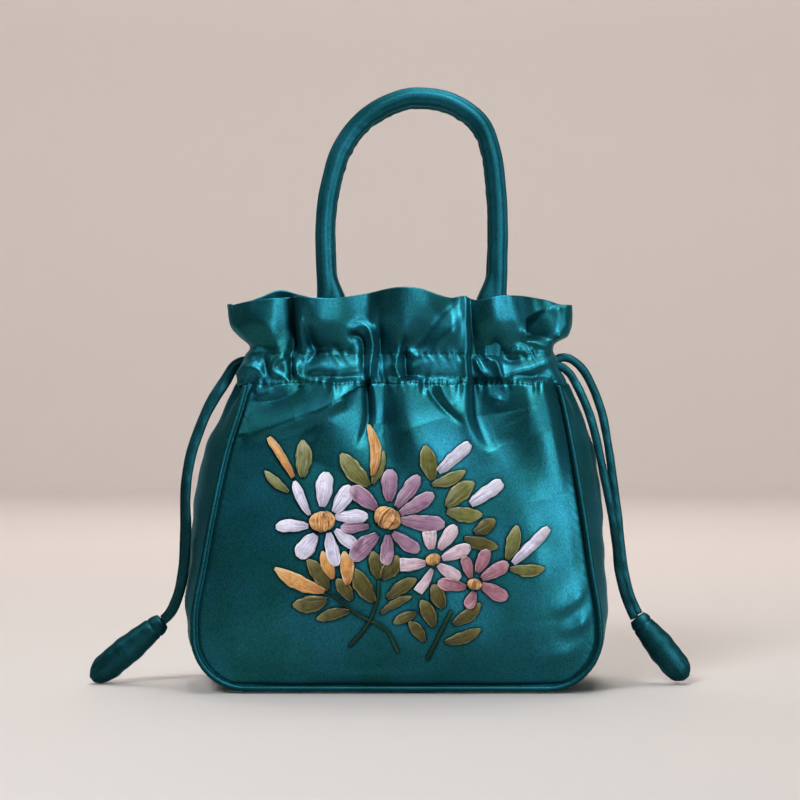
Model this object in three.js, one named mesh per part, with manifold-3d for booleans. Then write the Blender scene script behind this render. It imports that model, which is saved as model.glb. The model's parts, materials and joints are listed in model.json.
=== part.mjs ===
// Embroidered satin bucket bag with a drawstring neck, in millimetres, +Z up.
// The bag stands on z = 0 with its front towards -Y and +X to the right.
// The origin is the middle of its base.
import * as THREE from "three";
import { mergeVertices } from "three/addons/utils/BufferGeometryUtils.js";
import Module from "manifold-3d";

const wasm = await Module();
wasm.setup();

// Clearance between neighbouring pieces
const gap = 0.3;

// Body: two faces and one gusset strip that runs down a side, under the base and up the other side
const bodyHeight = 170; // floor to the lower stitch line of the casing
const seamHalfWidth = 112; // middle of the face to its side seam, at the widest
const seamHalfDepth = 42; // front seam to the middle of the bag, at the base
const faceSwell = 10; // how far a stuffed face stands out from its seams
const gussetSwell = 16; // how far a side stands out from its seams
const baseDrop = 4; // seam to the flat of the base
const cornerRadius = 28;
const faceWall = 2;
const gussetWall = 2;
const foldRelief = 3.6;
const pipingRadius = 1.7;
const pipingClearance = 0.5;

// Collar: a drawstring casing between two stitch lines, and the ruffle above it
const collarHeight = 48;
const collarWall = 2.2;
const pleatRelief = 2;
const ruffleWave = 4;
const slotHeight = 11;
const slotRise = 11.5; // lower stitch line to the middle of the drawstring's way out

// Handles: two padded tubes, sewn to the inside of the casing
const handleRadius = 5.4;
const handleSpan = 97; // leg to leg, middle to middle
const handleRise = 148; // foot to the middle of the arch
const handleFootHeight = 184;
const handleShift = 6.3; // the arch stands this far right of the middle
const handleGap = 1.2; // front arch to rear arch

// Drawstring: flat satin tubes, two on each side, that end together in a stuffed tip
const stringRadius = 2.1;
const stringSpread = 2.5; // middle of the way out to each string's middle
const stringSides = 8;
const tipLengthLeft = 52;
const tipLengthRight = 44;
const tipRadius = 7.6;
const tipFlatness = 0.8;

// Ribbon embroidery on the front face
const petalLength = 27;
const petalWidth = 8.4;
const knotRadius = 6.8;
const ribbonGap = 0.55;
const ribbonThickness = 0.8;
const ribbonPuff = 1.1;
const stemWidth = 1.3;
const stemHeight = 0.56;
const knotRelief = 2.6;
const ribbonSink = 0.06; // a knot or stem reaches this much under the blades that it joins
const ribbonLayer = 0.12; // each blade of a spray starts this much higher than the one before

const satin = { color: 0x0f6468, roughness: 0.42, metalness: 0.35 };
const ribbonColours = {
  white: 0xd9d5ea,
  mauve: 0x8c6585,
  blush: 0xd5bccb,
  rose: 0xa76d83,
  gold: 0xc9965a,
  olive: 0x6d6f35,
  leaf: 0x4f4f1f,
};

// Side seam of a face: half widths and depths as shares of the sizes above, by share of the body's height
const seamTable = [
  { at: 0.0, left: 1.0, right: 0.972, depth: 1.0, swell: 0.0, side: 0.25 },
  { at: 0.05, left: 1.0, right: 0.972, depth: 1.0, swell: 0.25, side: 0.35 },
  { at: 0.1, left: 1.0, right: 0.972, depth: 1.0, swell: 0.54, side: 0.43 },
  { at: 0.18, left: 1.0, right: 0.97, depth: 1.0, swell: 0.82, side: 0.52 },
  { at: 0.26, left: 0.998, right: 0.963, depth: 1.0, swell: 0.96, side: 0.6 },
  { at: 0.4, left: 0.96, right: 0.928, depth: 0.98, swell: 1.0, side: 0.76 },
  { at: 0.57, left: 0.915, right: 0.892, depth: 0.92, swell: 0.92, side: 0.92 },
  { at: 0.79, left: 0.845, right: 0.84, depth: 0.76, swell: 0.78, side: 0.98 },
  { at: 0.92, left: 0.785, right: 0.805, depth: 0.62, swell: 0.66, side: 0.68 },
  { at: 1.0, left: 0.755, right: 0.775, depth: 0.54, swell: 0.6, side: 0.5 },
];

// Folds that fall from the casing: place across the face, drift to the side by the end, reach down the body,
// lift (share of the fold relief, below zero for a valley) and width across
const frontFolds = [
  { at: 0.09, drift: -0.02, reach: 0.13, lift: 0.75, width: 0.06 },
  { at: 0.32, drift: -0.28, reach: 0.3, lift: 0.85, width: 0.06 },
  { at: 0.375, drift: -0.14, reach: 0.22, lift: -0.6, width: 0.035 },
  { at: 0.45, drift: -0.05, reach: 0.36, lift: 0.7, width: 0.045 },
  { at: 0.54, drift: 0.02, reach: 0.42, lift: -1.0, width: 0.05 },
  { at: 0.61, drift: 0.2, reach: 0.36, lift: 0.9, width: 0.05 },
  { at: 0.72, drift: 0.06, reach: 0.42, lift: -0.6, width: 0.035 },
  { at: 0.81, drift: 0.03, reach: 0.32, lift: -0.8, width: 0.05 },
  { at: 0.92, drift: -0.02, reach: 0.55, lift: 0.9, width: 0.055 },
];
const backFolds = [
  { at: 0.14, drift: 0.06, reach: 0.4, lift: 0.8, width: 0.06 },
  { at: 0.27, drift: -0.05, reach: 0.3, lift: -0.7, width: 0.045 },
  { at: 0.4, drift: -0.08, reach: 0.38, lift: 0.8, width: 0.055 },
  { at: 0.53, drift: 0.03, reach: 0.34, lift: -0.9, width: 0.05 },
  { at: 0.66, drift: 0.12, reach: 0.4, lift: 0.8, width: 0.06 },
  { at: 0.84, drift: -0.06, reach: 0.3, lift: -0.6, width: 0.05 },
];

// Gathers of the casing and ruffle, across the front and the rear: place, lift in shares of the relief,
// width, and how much of the gather lives on in the ruffle
const frontPleats = [
  { at: 0.05, lift: 0.8, width: 0.024, above: 0.8 },
  { at: 0.14, lift: -0.9, width: 0.018, above: -0.9 },
  { at: 0.2, lift: 0.7, width: 0.024, above: -0.3 },
  { at: 0.29, lift: 0.8, width: 0.045, above: 1.0 },
  { at: 0.385, lift: 1.0, width: 0.018, above: 0.7 },
  { at: 0.43, lift: -0.7, width: 0.02, above: -1.0 },
  { at: 0.485, lift: 0.9, width: 0.02, above: 0.5 },
  { at: 0.53, lift: -0.8, width: 0.018, above: 0.6 },
  { at: 0.58, lift: 0.8, width: 0.022, above: 0.3 },
  { at: 0.65, lift: 0.3, width: 0.04, above: -0.9 },
  { at: 0.705, lift: 0.8, width: 0.018, above: 0.9 },
  { at: 0.745, lift: -0.9, width: 0.018, above: -0.9 },
  { at: 0.82, lift: 0.7, width: 0.03, above: 0.7 },
  { at: 0.88, lift: -0.7, width: 0.02, above: -0.4 },
  { at: 0.95, lift: 0.6, width: 0.024, above: 0.6 },
];
const backPleats = [
  { at: 0.08, lift: 0.8, width: 0.03, above: 0.9 },
  { at: 0.19, lift: -0.9, width: 0.025, above: -0.9 },
  { at: 0.29, lift: 0.8, width: 0.03, above: 0.8 },
  { at: 0.39, lift: -0.7, width: 0.025, above: -0.8 },
  { at: 0.49, lift: 0.9, width: 0.03, above: 0.9 },
  { at: 0.6, lift: -0.8, width: 0.025, above: -0.7 },
  { at: 0.7, lift: 0.8, width: 0.03, above: 0.8 },
  { at: 0.81, lift: -0.8, width: 0.025, above: -0.9 },
  { at: 0.91, lift: 0.7, width: 0.03, above: 0.8 },
];

// Collar rows from the lower stitch line up: share of the collar's height, widening at the sides, deepening
// at the front, and how far the casing's gathers and the ruffle's waves show there
const collarTable = [
  { at: 0.0, wide: 1.0, deep: 1.0, casing: 1.0, ruffle: 0.0 },
  { at: 0.17, wide: 0.965, deep: 1.1, casing: 0.7, ruffle: 0.0 },
  { at: 0.34, wide: 0.915, deep: 0.93, casing: 1.0, ruffle: 0.0 },
  { at: 0.48, wide: 0.932, deep: 0.96, casing: 0.6, ruffle: 0.3 },
  { at: 0.66, wide: 0.985, deep: 1.04, casing: 0.15, ruffle: 0.68 },
  { at: 0.84, wide: 1.04, deep: 1.13, casing: 0.0, ruffle: 0.92 },
  { at: 1.0, wide: 1.065, deep: 1.2, casing: 0.0, ruffle: 1.0 },
];

// Top edge of the ruffle across the front: its height as a share of the collar's
const ruffleEdge = [
  { at: 0.0, front: -0.06, back: -0.05 },
  { at: 0.13, front: 0.0, back: 0.03 },
  { at: 0.3, front: -0.02, back: -0.02 },
  { at: 0.5, front: 0.11, back: 0.03 },
  { at: 0.7, front: -0.01, back: 0.0 },
  { at: 0.9, front: 0.0, back: 0.02 },
  { at: 1.0, front: -0.05, back: -0.04 },
];

// Handle's line from the left foot to the right: shares of the span and the rise
const handleTable = [
  { across: -0.49, up: 0.0 },
  { across: -0.49, up: 0.26 },
  { across: -0.5, up: 0.49 },
  { across: -0.478, up: 0.64 },
  { across: -0.407, up: 0.8 },
  { across: -0.268, up: 0.92 },
  { across: -0.07, up: 0.99 },
  { across: 0.08, up: 1.0 },
  { across: 0.236, up: 0.979 },
  { across: 0.39, up: 0.909 },
  { across: 0.465, up: 0.8 },
  { across: 0.497, up: 0.64 },
  { across: 0.506, up: 0.49 },
  { across: 0.5, up: 0.33 },
  { across: 0.485, up: 0.0 },
];

// Drawstring routes, chosen by hand: out of the casing's side, over the gusset and down to the tip
const stringRoutes = {
  string_left_front: [
    [-83.5, -2.5, 181.2], [-89, -2.5, 181.8], [-93.8, -2.7, 178.6], [-97.8, -3.8, 171.8],
    [-103.2, -6.2, 163.2],
    [-108, -8, 154.6], [-112.4, -10.2, 144], [-116, -12.8, 133], [-118.6, -15.4, 120], [-119.6, -17.2, 106],
    [-119.2, -18.2, 92], [-119.4, -18.2, 78], [-120.8, -16.6, 64.5], [-123.4, -13, 53.2], [-127, -8.8, 44.2],
    [-130.4, -6.2, 39.2], [-133.9, -4.7, 35.9],
  ],
  string_left_rear: [
    [-83.5, 2.5, 182.4], [-89, 2.5, 183.4], [-94.6, 2.2, 180.6], [-99.2, 1.2, 173.6],
    [-104.8, -0.8, 164.8],
    [-109.8, -2.8, 155.4], [-114, -5.2, 144.6], [-117.6, -8, 133.4], [-120.2, -10.8, 120.2],
    [-121.2, -12.8, 106.2],
    [-121, -13.8, 92], [-121.4, -13.6, 78], [-122.6, -12, 64.8], [-124.8, -8.6, 53.8], [-128.2, -4.2, 45.2],
    [-131.2, -1.4, 40.2], [-134.2, 0, 36.8],
  ],
  string_right_front: [
    [83.5, -2.5, 179.6], [89.5, -2.5, 180.4], [95.2, -2.7, 176.9], [98.8, -4.4, 171.4], [102.6, -8, 163.4],
    [107, -11, 151.8], [110.4, -14.2, 138], [113.6, -16.4, 122], [116.8, -16.6, 106.6], [119.8, -14.6, 91],
    [121.8, -11.6, 77.6], [123.4, -8.4, 64.5], [126.6, -5.4, 51.8], [129.4, -3.4, 44.6], [132.8, -2.5, 37.5],
  ],
  string_right_rear: [
    [83.5, 2.5, 182.8], [88.5, 2.5, 184], [93.6, 2.6, 185.2], [99, 2.8, 183], [105, 3, 176.9],
    [110.2, 3, 166.7], [113.6, 3, 157.6], [115.8, 3, 149.7], [118.8, 2.8, 132.6], [121, 2.6, 116.7],
    [122.8, 2.4, 103.7], [124.4, 2.2, 90.6], [125.6, 2.2, 77.6], [127.4, 2.2, 64.5], [130.8, 2.3, 50.6],
    [133.2, 2.4, 44.4], [135.6, 2.5, 39.4],
  ],
};

// Tips: upper end, and the way from there to the end that lies on the table
const tipPlaces = {
  tip_left: { top: [-134.6, -2.4, 35.6], end: [-174, 0, 3.2], length: tipLengthLeft },
  tip_right: { top: [134.6, -0.1, 37.6], end: [161.4, -2, 4.2], length: tipLengthRight },
};

// Tip's outline from the strings to the folded end: shares of its length and radius
const tipTable = [
  { at: 0.0, radius: 0.66 },
  { at: 0.12, radius: 0.78 },
  { at: 0.4, radius: 0.95 },
  { at: 0.65, radius: 1.0 },
  { at: 0.86, radius: 0.8 },
  { at: 1.0, radius: 0.35 },
];

// Flowers: middle as shares of the seam half width and body height, then petal length, petal width and knot
// as shares of the largest flower's. Petals: clock angles in degrees where each starts and ends, then its
// reach and width as shares of its flower's
const flowers = [
  {
    name: "flower_mauve", colour: "mauve", across: -0.064, up: 0.567, reach: 1.0, width: 1.0, knot: 1.0,
    petals: [
      { from: 5, to: 3, reach: 0.98, width: 1.0 },
      { from: 41, to: 38, reach: 1.05, width: 0.96 },
      { from: 71, to: 63, reach: 1.05, width: 0.96 },
      { from: 100, to: 97, reach: 1.16, width: 1.04 },
      { from: 152, to: 136, reach: 0.93, width: 0.92 },
      { from: 176, to: 181, reach: 0.93, width: 0.9 },
      { from: -149, to: -140, reach: 1.08, width: 1.14 },
      { from: -112, to: -103, reach: 0.8, width: 0.66 },
      { from: -54, to: -51, reach: 0.93, width: 1.0 },
    ],
  },
  {
    name: "flower_white", colour: "white", across: -0.38, up: 0.554, reach: 0.963, width: 1.07, knot: 0.94,
    petals: [
      { from: 0, to: 4, reach: 1.05, width: 1.02 },
      { from: -58, to: -35, reach: 1.05, width: 0.64 },
      { from: -106, to: -97, reach: 0.99, width: 0.8 },
      { from: -152, to: -146, reach: 0.9, width: 1.06 },
      { from: 152, to: 162, reach: 0.97, width: 0.86 },
      { from: 124, to: 126, reach: 0.76, width: 0.76 },
      { from: 74, to: 83, reach: 0.78, width: 0.84 },
      { from: 48, to: 39, reach: 0.84, width: 0.9 },
    ],
  },
  {
    name: "flower_blush", colour: "blush", across: 0.16, up: 0.433, reach: 0.74, width: 0.88, knot: 0.53,
    petals: [
      { from: -9, to: -7, reach: 0.78, width: 1.04 },
      { from: 32, to: 34, reach: 1.12, width: 1.0 },
      { from: 82, to: 72, reach: 1.06, width: 1.0 },
      { from: 136, to: 125, reach: 0.9, width: 0.96 },
      { from: -176, to: -154, reach: 0.98, width: 0.74 },
      { from: -118, to: -99, reach: 0.9, width: 1.0 },
    ],
  },
  {
    name: "flower_rose", colour: "rose", across: 0.362, up: 0.353, reach: 0.7, width: 0.86, knot: 0.5,
    petals: [
      { from: -29, to: -18, reach: 0.8, width: 0.82 },
      { from: 16, to: 22, reach: 0.98, width: 0.96 },
      { from: 53, to: 59, reach: 1.0, width: 1.04 },
      { from: 94, to: 112, reach: 1.02, width: 1.12 },
      { from: 178, to: -166, reach: 0.72, width: 0.9 },
      { from: -104, to: -88, reach: 0.88, width: 0.96 },
    ],
  },
];

// Sprigs: root as shares of the seam half width and body height. Blades: clock angle in degrees, then length
// and width as shares of a leaf's
const leafLength = 21;
const leafWidth = 8.4;
const sprigs = [
  {
    name: "bud_left", colour: "gold", across: -0.51, up: 0.669,
    blades: [
      { turn: -30, length: 1.46, width: 0.56 },
      { turn: 8, length: 1.2, width: 0.96 },
      { turn: -66, length: 0.92, width: 0.6 },
    ],
  },
  {
    name: "bud_middle", colour: "gold", across: -0.145, up: 0.672,
    blades: [
      { turn: -3, length: 1.58, width: 0.66 },
      { turn: -44, length: 1.12, width: 0.96 },
      { turn: 24, length: 0.92, width: 0.62 },
    ],
  },
  {
    name: "bud_upper_right", colour: "white", across: 0.172, up: 0.678,
    blades: [
      { turn: 42, length: 1.42, width: 0.84 },
      { turn: -12, length: 1.0, width: 0.92 },
      { turn: 70, length: 0.9, width: 0.76 },
    ],
  },
  {
    name: "bud_right", colour: "white", across: 0.236, up: 0.594,
    blades: [
      { turn: 64, length: 1.58, width: 0.9 },
      { turn: 44, length: 1.0, width: 1.04 },
      { turn: 98, length: 0.93, width: 0.94 },
    ],
  },
  {
    name: "bud_lower_right", colour: "white", across: 0.552, up: 0.41,
    blades: [
      { turn: 48, length: 1.38, width: 0.72 },
      { turn: 12, length: 1.05, width: 0.88 },
      { turn: 92, length: 0.9, width: 0.78 },
    ],
  },
  {
    name: "leaf_pair", colour: "olive", across: 0.33, up: 0.503,
    blades: [
      { turn: 60, length: 0.9, width: 0.9 },
      { turn: 104, length: 0.9, width: 0.82 },
    ],
  },
  {
    name: "leaf_fork", colour: "leaf", across: 0.05, up: 0.238,
    blades: [
      { turn: 66, length: 0.42, width: 0.68 },
      { turn: -112, length: 0.5, width: 0.6 },
      { turn: 142, length: 0.74, width: 0.68 },
    ],
  },
  {
    name: "gold_leaves", colour: "gold", across: -0.252, up: 0.306,
    blades: [
      { turn: -4, length: 0.92, width: 0.9 },
      { turn: -37, length: 0.82, width: 0.78 },
    ],
  },
];

// Sprays: stems through points given as shares of the seam half width and body height, and leaves that start
// at a share of a stem's way
const sprays = [
  {
    name: "spray_left", colour: "leaf",
    stems: [
      [[-0.356, 0.326], [-0.2, 0.255], [-0.076, 0.208], [-0.012, 0.14]],
      [[-0.246, 0.15], [-0.16, 0.215], [-0.112, 0.295], [-0.102, 0.355]],
    ],
    blades: [
      { stem: 0, at: 0.0, turn: -66, length: 1.46, width: 0.98 },
      { stem: 0, at: 0.0, turn: -28, length: 0.92, width: 0.98 },
      { stem: 0, at: 0.04, turn: -112, length: 0.98, width: 1.0 },
      { stem: 0, at: 0.3, turn: -112, length: 0.85, width: 0.7 },
      { stem: 1, at: 0.66, turn: -28, length: 1.0, width: 0.98 },
      { stem: 1, at: 0.98, turn: -14, length: 0.6, width: 0.84 },
      { stem: 1, at: 0.98, turn: 34, length: 0.62, width: 0.96 },
      { stem: 1, at: 0.64, turn: 58, length: 1.02, width: 0.78 },
      { stem: 1, at: 0.5, turn: 62, length: 0.92, width: 0.5 },
    ],
  },
  {
    name: "spray_right", colour: "leaf",
    stems: [[[0.13, 0.112], [0.2, 0.195], [0.232, 0.27]]],
    blades: [
      { stem: 0, at: 0.96, turn: -24, length: 0.72, width: 0.96 },
      { stem: 0, at: 0.72, turn: -32, length: 0.82, width: 0.88 },
      { stem: 0, at: 0.66, turn: 56, length: 0.92, width: 0.84 },
      { stem: 0, at: 0.36, turn: 70, length: 1.0, width: 0.78 },
    ],
  },
];

const lerp = THREE.MathUtils.lerp;
const radians = THREE.MathUtils.degToRad;
const bump = (distance, width) => Math.exp(-((distance / width) ** 2));

// Smooth value of one column of a table at a place along its rows
function read(table, column, at) {
  const last = table.length - 1;
  const next = Math.max(1, table.findIndex((entry, index) => entry.at >= at || index === last));
  const row = (index) => table[THREE.MathUtils.clamp(index, 0, last)];
  const [before, low, high, after] = [row(next - 2), row(next - 1), row(next), row(next + 1)];
  const span = high.at - low.at;
  const share = THREE.MathUtils.clamp((at - low.at) / span, 0, 1);
  const slopeLow = ((high[column] - before[column]) / (high.at - before.at)) * span;
  const slopeHigh = ((after[column] - low[column]) / (after.at - low.at)) * span;
  const square = share * share;
  const cube = square * share;
  return (
    (2 * cube - 3 * square + 1) * low[column] +
    (cube - 2 * square + share) * slopeLow +
    (3 * square - 2 * cube) * high[column] +
    (cube - square) * slopeHigh
  );
}

// Closed solid between an outer and an inner grid of points. A looped one joins its last column to its first
function shell(columns, rows, outer, inner, looped = false) {
  const acrossCount = looped ? columns : columns + 1;
  const positions = [];
  for (const point of [outer, inner]) {
    for (let row = 0; row <= rows; row += 1) {
      for (let column = 0; column < acrossCount; column += 1) {
        positions.push(...point(column / columns, row / rows));
      }
    }
  }
  const layer = acrossCount * (rows + 1);
  const index = (side, column, row) => side * layer + row * acrossCount + (column % acrossCount);
  const faces = [];
  const quad = (a, b, c, d) => faces.push(a, b, c, a, c, d);
  for (let row = 0; row < rows; row += 1) {
    for (let column = 0; column < columns; column += 1) {
      const corners = [[column, row], [column + 1, row], [column + 1, row + 1], [column, row + 1]];
      quad(...corners.map(([c, r]) => index(0, c, r)));
      quad(...corners.map(([c, r]) => index(1, c, r)).reverse());
    }
  }
  for (let column = 0; column < columns; column += 1) {
    const next = column + 1;
    quad(index(1, column, 0), index(1, next, 0), index(0, next, 0), index(0, column, 0));
    quad(index(0, column, rows), index(0, next, rows), index(1, next, rows), index(1, column, rows));
  }
  for (let row = 0; row < rows && !looped; row += 1) {
    const next = row + 1;
    quad(index(0, 0, row), index(0, 0, next), index(1, 0, next), index(1, 0, row));
    quad(index(1, columns, row), index(1, columns, next), index(0, columns, next), index(0, columns, row));
  }
  const geometry = new THREE.BufferGeometry();
  geometry.setAttribute("position", new THREE.Float32BufferAttribute(positions, 3));
  geometry.setIndex(faces);
  return geometry;
}

// Manifold solid of a closed geometry, and the way back
function toSolid(geometry) {
  const bare = geometry.clone();
  bare.deleteAttribute("normal");
  bare.deleteAttribute("uv");
  const merged = mergeVertices(bare, 1e-4);
  const vertProperties = new Float32Array(merged.attributes.position.array);
  const triVerts = new Uint32Array(merged.index.array);
  return new wasm.Manifold(new wasm.Mesh({ numProp: 3, vertProperties, triVerts }));
}

function toGeometry(solid) {
  const mesh = solid.getMesh();
  const geometry = new THREE.BufferGeometry();
  geometry.setAttribute("position", new THREE.BufferAttribute(mesh.vertProperties, 3));
  geometry.setIndex(new THREE.BufferAttribute(mesh.triVerts, 1));
  return geometry;
}

// Side seam: half width of the face at a height, rounded into the base at the corners
const cornerTop = (baseDrop + cornerRadius) / bodyHeight;

function seamEdge(side, height) {
  const at = Math.max(height, cornerTop);
  const straight = seamHalfWidth * read(seamTable, side, at);
  const below = Math.max(0, (cornerTop - height) * bodyHeight);
  return straight - cornerRadius + Math.sqrt(Math.max(0, cornerRadius ** 2 - below ** 2));
}

const seamDepth = (height) => seamHalfDepth * read(seamTable, "depth", height);

// Sum of a face's folds at a share across and a share of the height below the stitch line
function foldShare(folds, across, below) {
  const edge = Math.min(1, 8 * Math.min(across, 1 - across));
  let sum = 0;
  for (const { at, drift, reach, lift, width } of folds) {
    const fade = Math.max(0, 1 - below / reach);
    sum += lift * fade * bump(across - at - (drift * below) / reach, width);
  }
  return sum * edge;
}

// How far a face stands out from the middle of the bag at a share across and a share of the height
function faceDepth(folds, across, height) {
  const round = 1 - Math.abs(2 * across - 1) ** 2.4;
  const swell = faceSwell * read(seamTable, "swell", height) * round;
  return seamDepth(height) + swell + foldRelief * foldShare(folds, across, 1 - height);
}

// Rows of a face: the first few follow the rounded corners, the rest rise evenly to the stitch line
const cornerRows = 4;
const faceRows = 13;
function rowHeight(share) {
  const row = share * faceRows;
  if (row <= cornerRows) {
    const angle = (row / cornerRows) * (Math.PI / 2);
    return (baseDrop + cornerRadius * (1 - Math.cos(angle))) / bodyHeight;
  }
  return lerp(cornerTop, 1, (row - cornerRows) / (faceRows - cornerRows));
}

function face(folds, columns, towards) {
  const point = (across, rise, wall) => {
    const height = rowHeight(rise);
    const x = lerp(-seamEdge("left", height), seamEdge("right", height), across);
    return [x, towards * (faceDepth(folds, across, height) - wall), height * bodyHeight];
  };
  return shell(
    columns,
    faceRows,
    (across, rise) => point(towards < 0 ? across : 1 - across, rise, 0),
    (across, rise) => point(towards < 0 ? across : 1 - across, rise, faceWall),
  );
}

// Seam line of a face, from the top of the left side under the base to the top of the right, with its way out
const sideShare = 0.36;
const cornerShare = 0.1;
const cornerMiddle = (side) => seamHalfWidth * read(seamTable, side, cornerTop) - cornerRadius;

function seamPoint(share) {
  const [side, sign] = share < 0.5 ? ["left", -1] : ["right", 1];
  const way = Math.min(share, 1 - share);
  if (way <= sideShare) {
    const height = lerp(1, cornerTop, way / sideShare);
    return { x: sign * seamEdge(side, height), z: height * bodyHeight, outX: sign, outZ: 0, height };
  }
  if (way <= sideShare + cornerShare) {
    const angle = ((way - sideShare) / cornerShare) * (Math.PI / 2);
    const x = sign * (cornerMiddle(side) + cornerRadius * Math.cos(angle));
    const z = baseDrop + cornerRadius * (1 - Math.sin(angle));
    return { x, z, outX: sign * Math.cos(angle), outZ: -Math.sin(angle), height: z / bodyHeight };
  }
  const along = (share - sideShare - cornerShare) / (1 - 2 * (sideShare + cornerShare));
  const x = lerp(-cornerMiddle("left"), cornerMiddle("right"), along);
  return { x, z: baseDrop, outX: 0, outZ: -1, height: baseDrop / bodyHeight };
}

// Gusset strip: it swells out at the sides and is flat under the base
const gussetColumns = 5;
const gussetRows = 36;
const baseFlat = 0.72;
function gussetOut(share, across) {
  const { outZ, height } = seamPoint(share);
  const level = Math.max(0, -outZ) ** 2;
  const sideways = Math.cos((across * Math.PI) / 2);
  const under = Math.min(1, (1 - Math.abs(across)) / (1 - baseFlat));
  const swell = lerp(gussetSwell * read(seamTable, "side", height), baseDrop, level);
  return swell * lerp(sideways, under, level);
}

function gussetPoint(share, across, wall) {
  const { x, z, outX, outZ, height } = seamPoint(share);
  const out = gussetOut(share, across) - wall;
  return [x + outX * out, across * (seamDepth(height) - faceWall - gap), z + outZ * out];
}

function gusset() {
  const flatColumn = 1 - 2 / gussetColumns;
  const place = (across) => {
    const spread = 2 * across - 1;
    return Math.abs(spread) < 0.99 ? (spread / flatColumn) * baseFlat : spread;
  };
  return shell(
    gussetColumns,
    gussetRows,
    (across, rise) => gussetPoint(rise, place(across), 0),
    (across, rise) => gussetPoint(rise, place(across), gussetWall),
  );
}

// Piping in the seam between a face and the gusset
function piping(towards) {
  const reach = (pipingRadius + pipingClearance) * Math.SQRT1_2;
  const points = [];
  const count = 60;
  for (let step = 0; step <= count; step += 1) {
    const { x, z, outX, outZ, height } = seamPoint(lerp(0.004, 0.996, step / count));
    points.push(new THREE.Vector3(x + outX * reach, towards * (seamDepth(height) + reach), z + outZ * reach));
  }
  return tube(new THREE.CatmullRomCurve3(points), pipingRadius, 34, 6);
}

function tube(path, radius, steps, sides) {
  const section = new THREE.Shape();
  for (let side = 0; side < sides; side += 1) {
    const angle = (side / sides) * 2 * Math.PI;
    const place = [radius * Math.cos(angle), radius * Math.sin(angle)];
    if (side === 0) section.moveTo(...place);
    else section.lineTo(...place);
  }
  section.closePath();
  return new THREE.ExtrudeGeometry(section, { steps, extrudePath: path, curveSegments: 1 });
}

// Neck ring at the lower stitch line, once around from the left front seam
const frontShare = 0.4;
const neckHalfWidth = seamEdge("left", 1) + gussetSwell * read(seamTable, "side", 1);
const neckHalfDepth = seamDepth(1) + faceSwell;
function neckPoint(around) {
  const turn = around % 1;
  const half = turn < 0.5 ? turn : turn - 0.5;
  const front = turn < 0.5;
  const left = seamEdge("left", 1);
  const right = seamEdge("right", 1);
  const depth = seamDepth(1);
  if (half <= frontShare) {
    const across = front ? half / frontShare : 1 - half / frontShare;
    const folds = front ? frontFolds : backFolds;
    return { x: lerp(-left, right, across), y: (front ? -1 : 1) * faceDepth(folds, across, 1), across };
  }
  const share = (half - frontShare) / (0.5 - frontShare);
  const spread = front ? 2 * share - 1 : 1 - 2 * share;
  const seam = front ? right : -left;
  const swell = gussetSwell * read(seamTable, "side", 1) * Math.cos((spread * Math.PI) / 2);
  return { x: seam + (front ? swell : -swell), y: spread * depth, across: front ? 1 : 0 };
}

// Gathers at a place across: in the casing as wide as listed, in the ruffle spread out
const ruffleSpread = 1.5;
function pleatLift(pleats, column, across) {
  const edge = Math.min(1, 10 * Math.min(across, 1 - across));
  const spread = column === "above" ? ruffleSpread : 1;
  let lift = 0;
  for (const pleat of pleats) lift += pleat[column] * bump(across - pleat.at, pleat.width * spread);
  return lift * edge;
}

// The collar takes over the face's folds at the stitch line and turns them into its own gathers
const takeOver = 0.17;
function collarPoint(around, rise, wall) {
  const { x, y, across } = neckPoint(around);
  const front = around % 1 < 0.5;
  const pleats = front ? frontPleats : backPleats;
  const folds = front ? frontFolds : backFolds;
  const own = Math.min(1, rise / takeOver);
  const casing = pleatRelief * read(collarTable, "casing", rise) * pleatLift(pleats, "lift", across);
  const ruffle = ruffleWave * read(collarTable, "ruffle", rise) * pleatLift(pleats, "above", across);
  const away = own * (casing + ruffle - foldRelief * foldShare(folds, across, 0)) - wall;
  const outward = new THREE.Vector2(x / neckHalfWidth ** 2, y / neckHalfDepth ** 2).normalize();
  const edge = read(ruffleEdge, front ? "front" : "back", across) * rise ** 3;
  return [
    x * read(collarTable, "wide", rise) + outward.x * away,
    y * read(collarTable, "deep", rise) + outward.y * away,
    bodyHeight + gap + collarHeight * (rise + edge),
  ];
}

const collarColumns = 72;
const collarRows = collarTable.length - 1;
function collar() {
  const rowRise = (share) => collarTable[Math.round(share * collarRows)].at;
  const ring = shell(
    collarColumns,
    collarRows,
    (around, share) => collarPoint(around, rowRise(share), 0),
    (around, share) => collarPoint(around, rowRise(share), collarWall),
    true,
  );
  const slotWidth = 2 * (stringSpread + stringRadius + gap);
  const slot = new THREE.BoxGeometry(3 * neckHalfWidth, slotWidth, slotHeight);
  slot.translate(0, 0, bodyHeight + slotRise);
  return toGeometry(toSolid(ring).subtract(toSolid(slot)));
}

// Depth at which a handle's leg seats against the inner wall of the casing
function handleSeat(towards, across) {
  const middle = handleShift + across * handleSpan;
  const lowest = (handleFootHeight - bodyHeight) / collarHeight;
  let seat = Infinity;
  for (let around = 0; around < 0.5; around += 0.002) {
    for (let rise = lowest; rise < lowest + 0.35; rise += 0.05) {
      const [x, y] = collarPoint(towards < 0 ? around : around + 0.5, rise, collarWall);
      const aside = Math.abs(x - middle);
      if (aside > handleRadius || Math.abs(y) < seamDepth(1) / 2) continue;
      seat = Math.min(seat, Math.abs(y) - Math.sqrt(handleRadius ** 2 - aside ** 2));
    }
  }
  return seat - gap;
}

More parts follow.
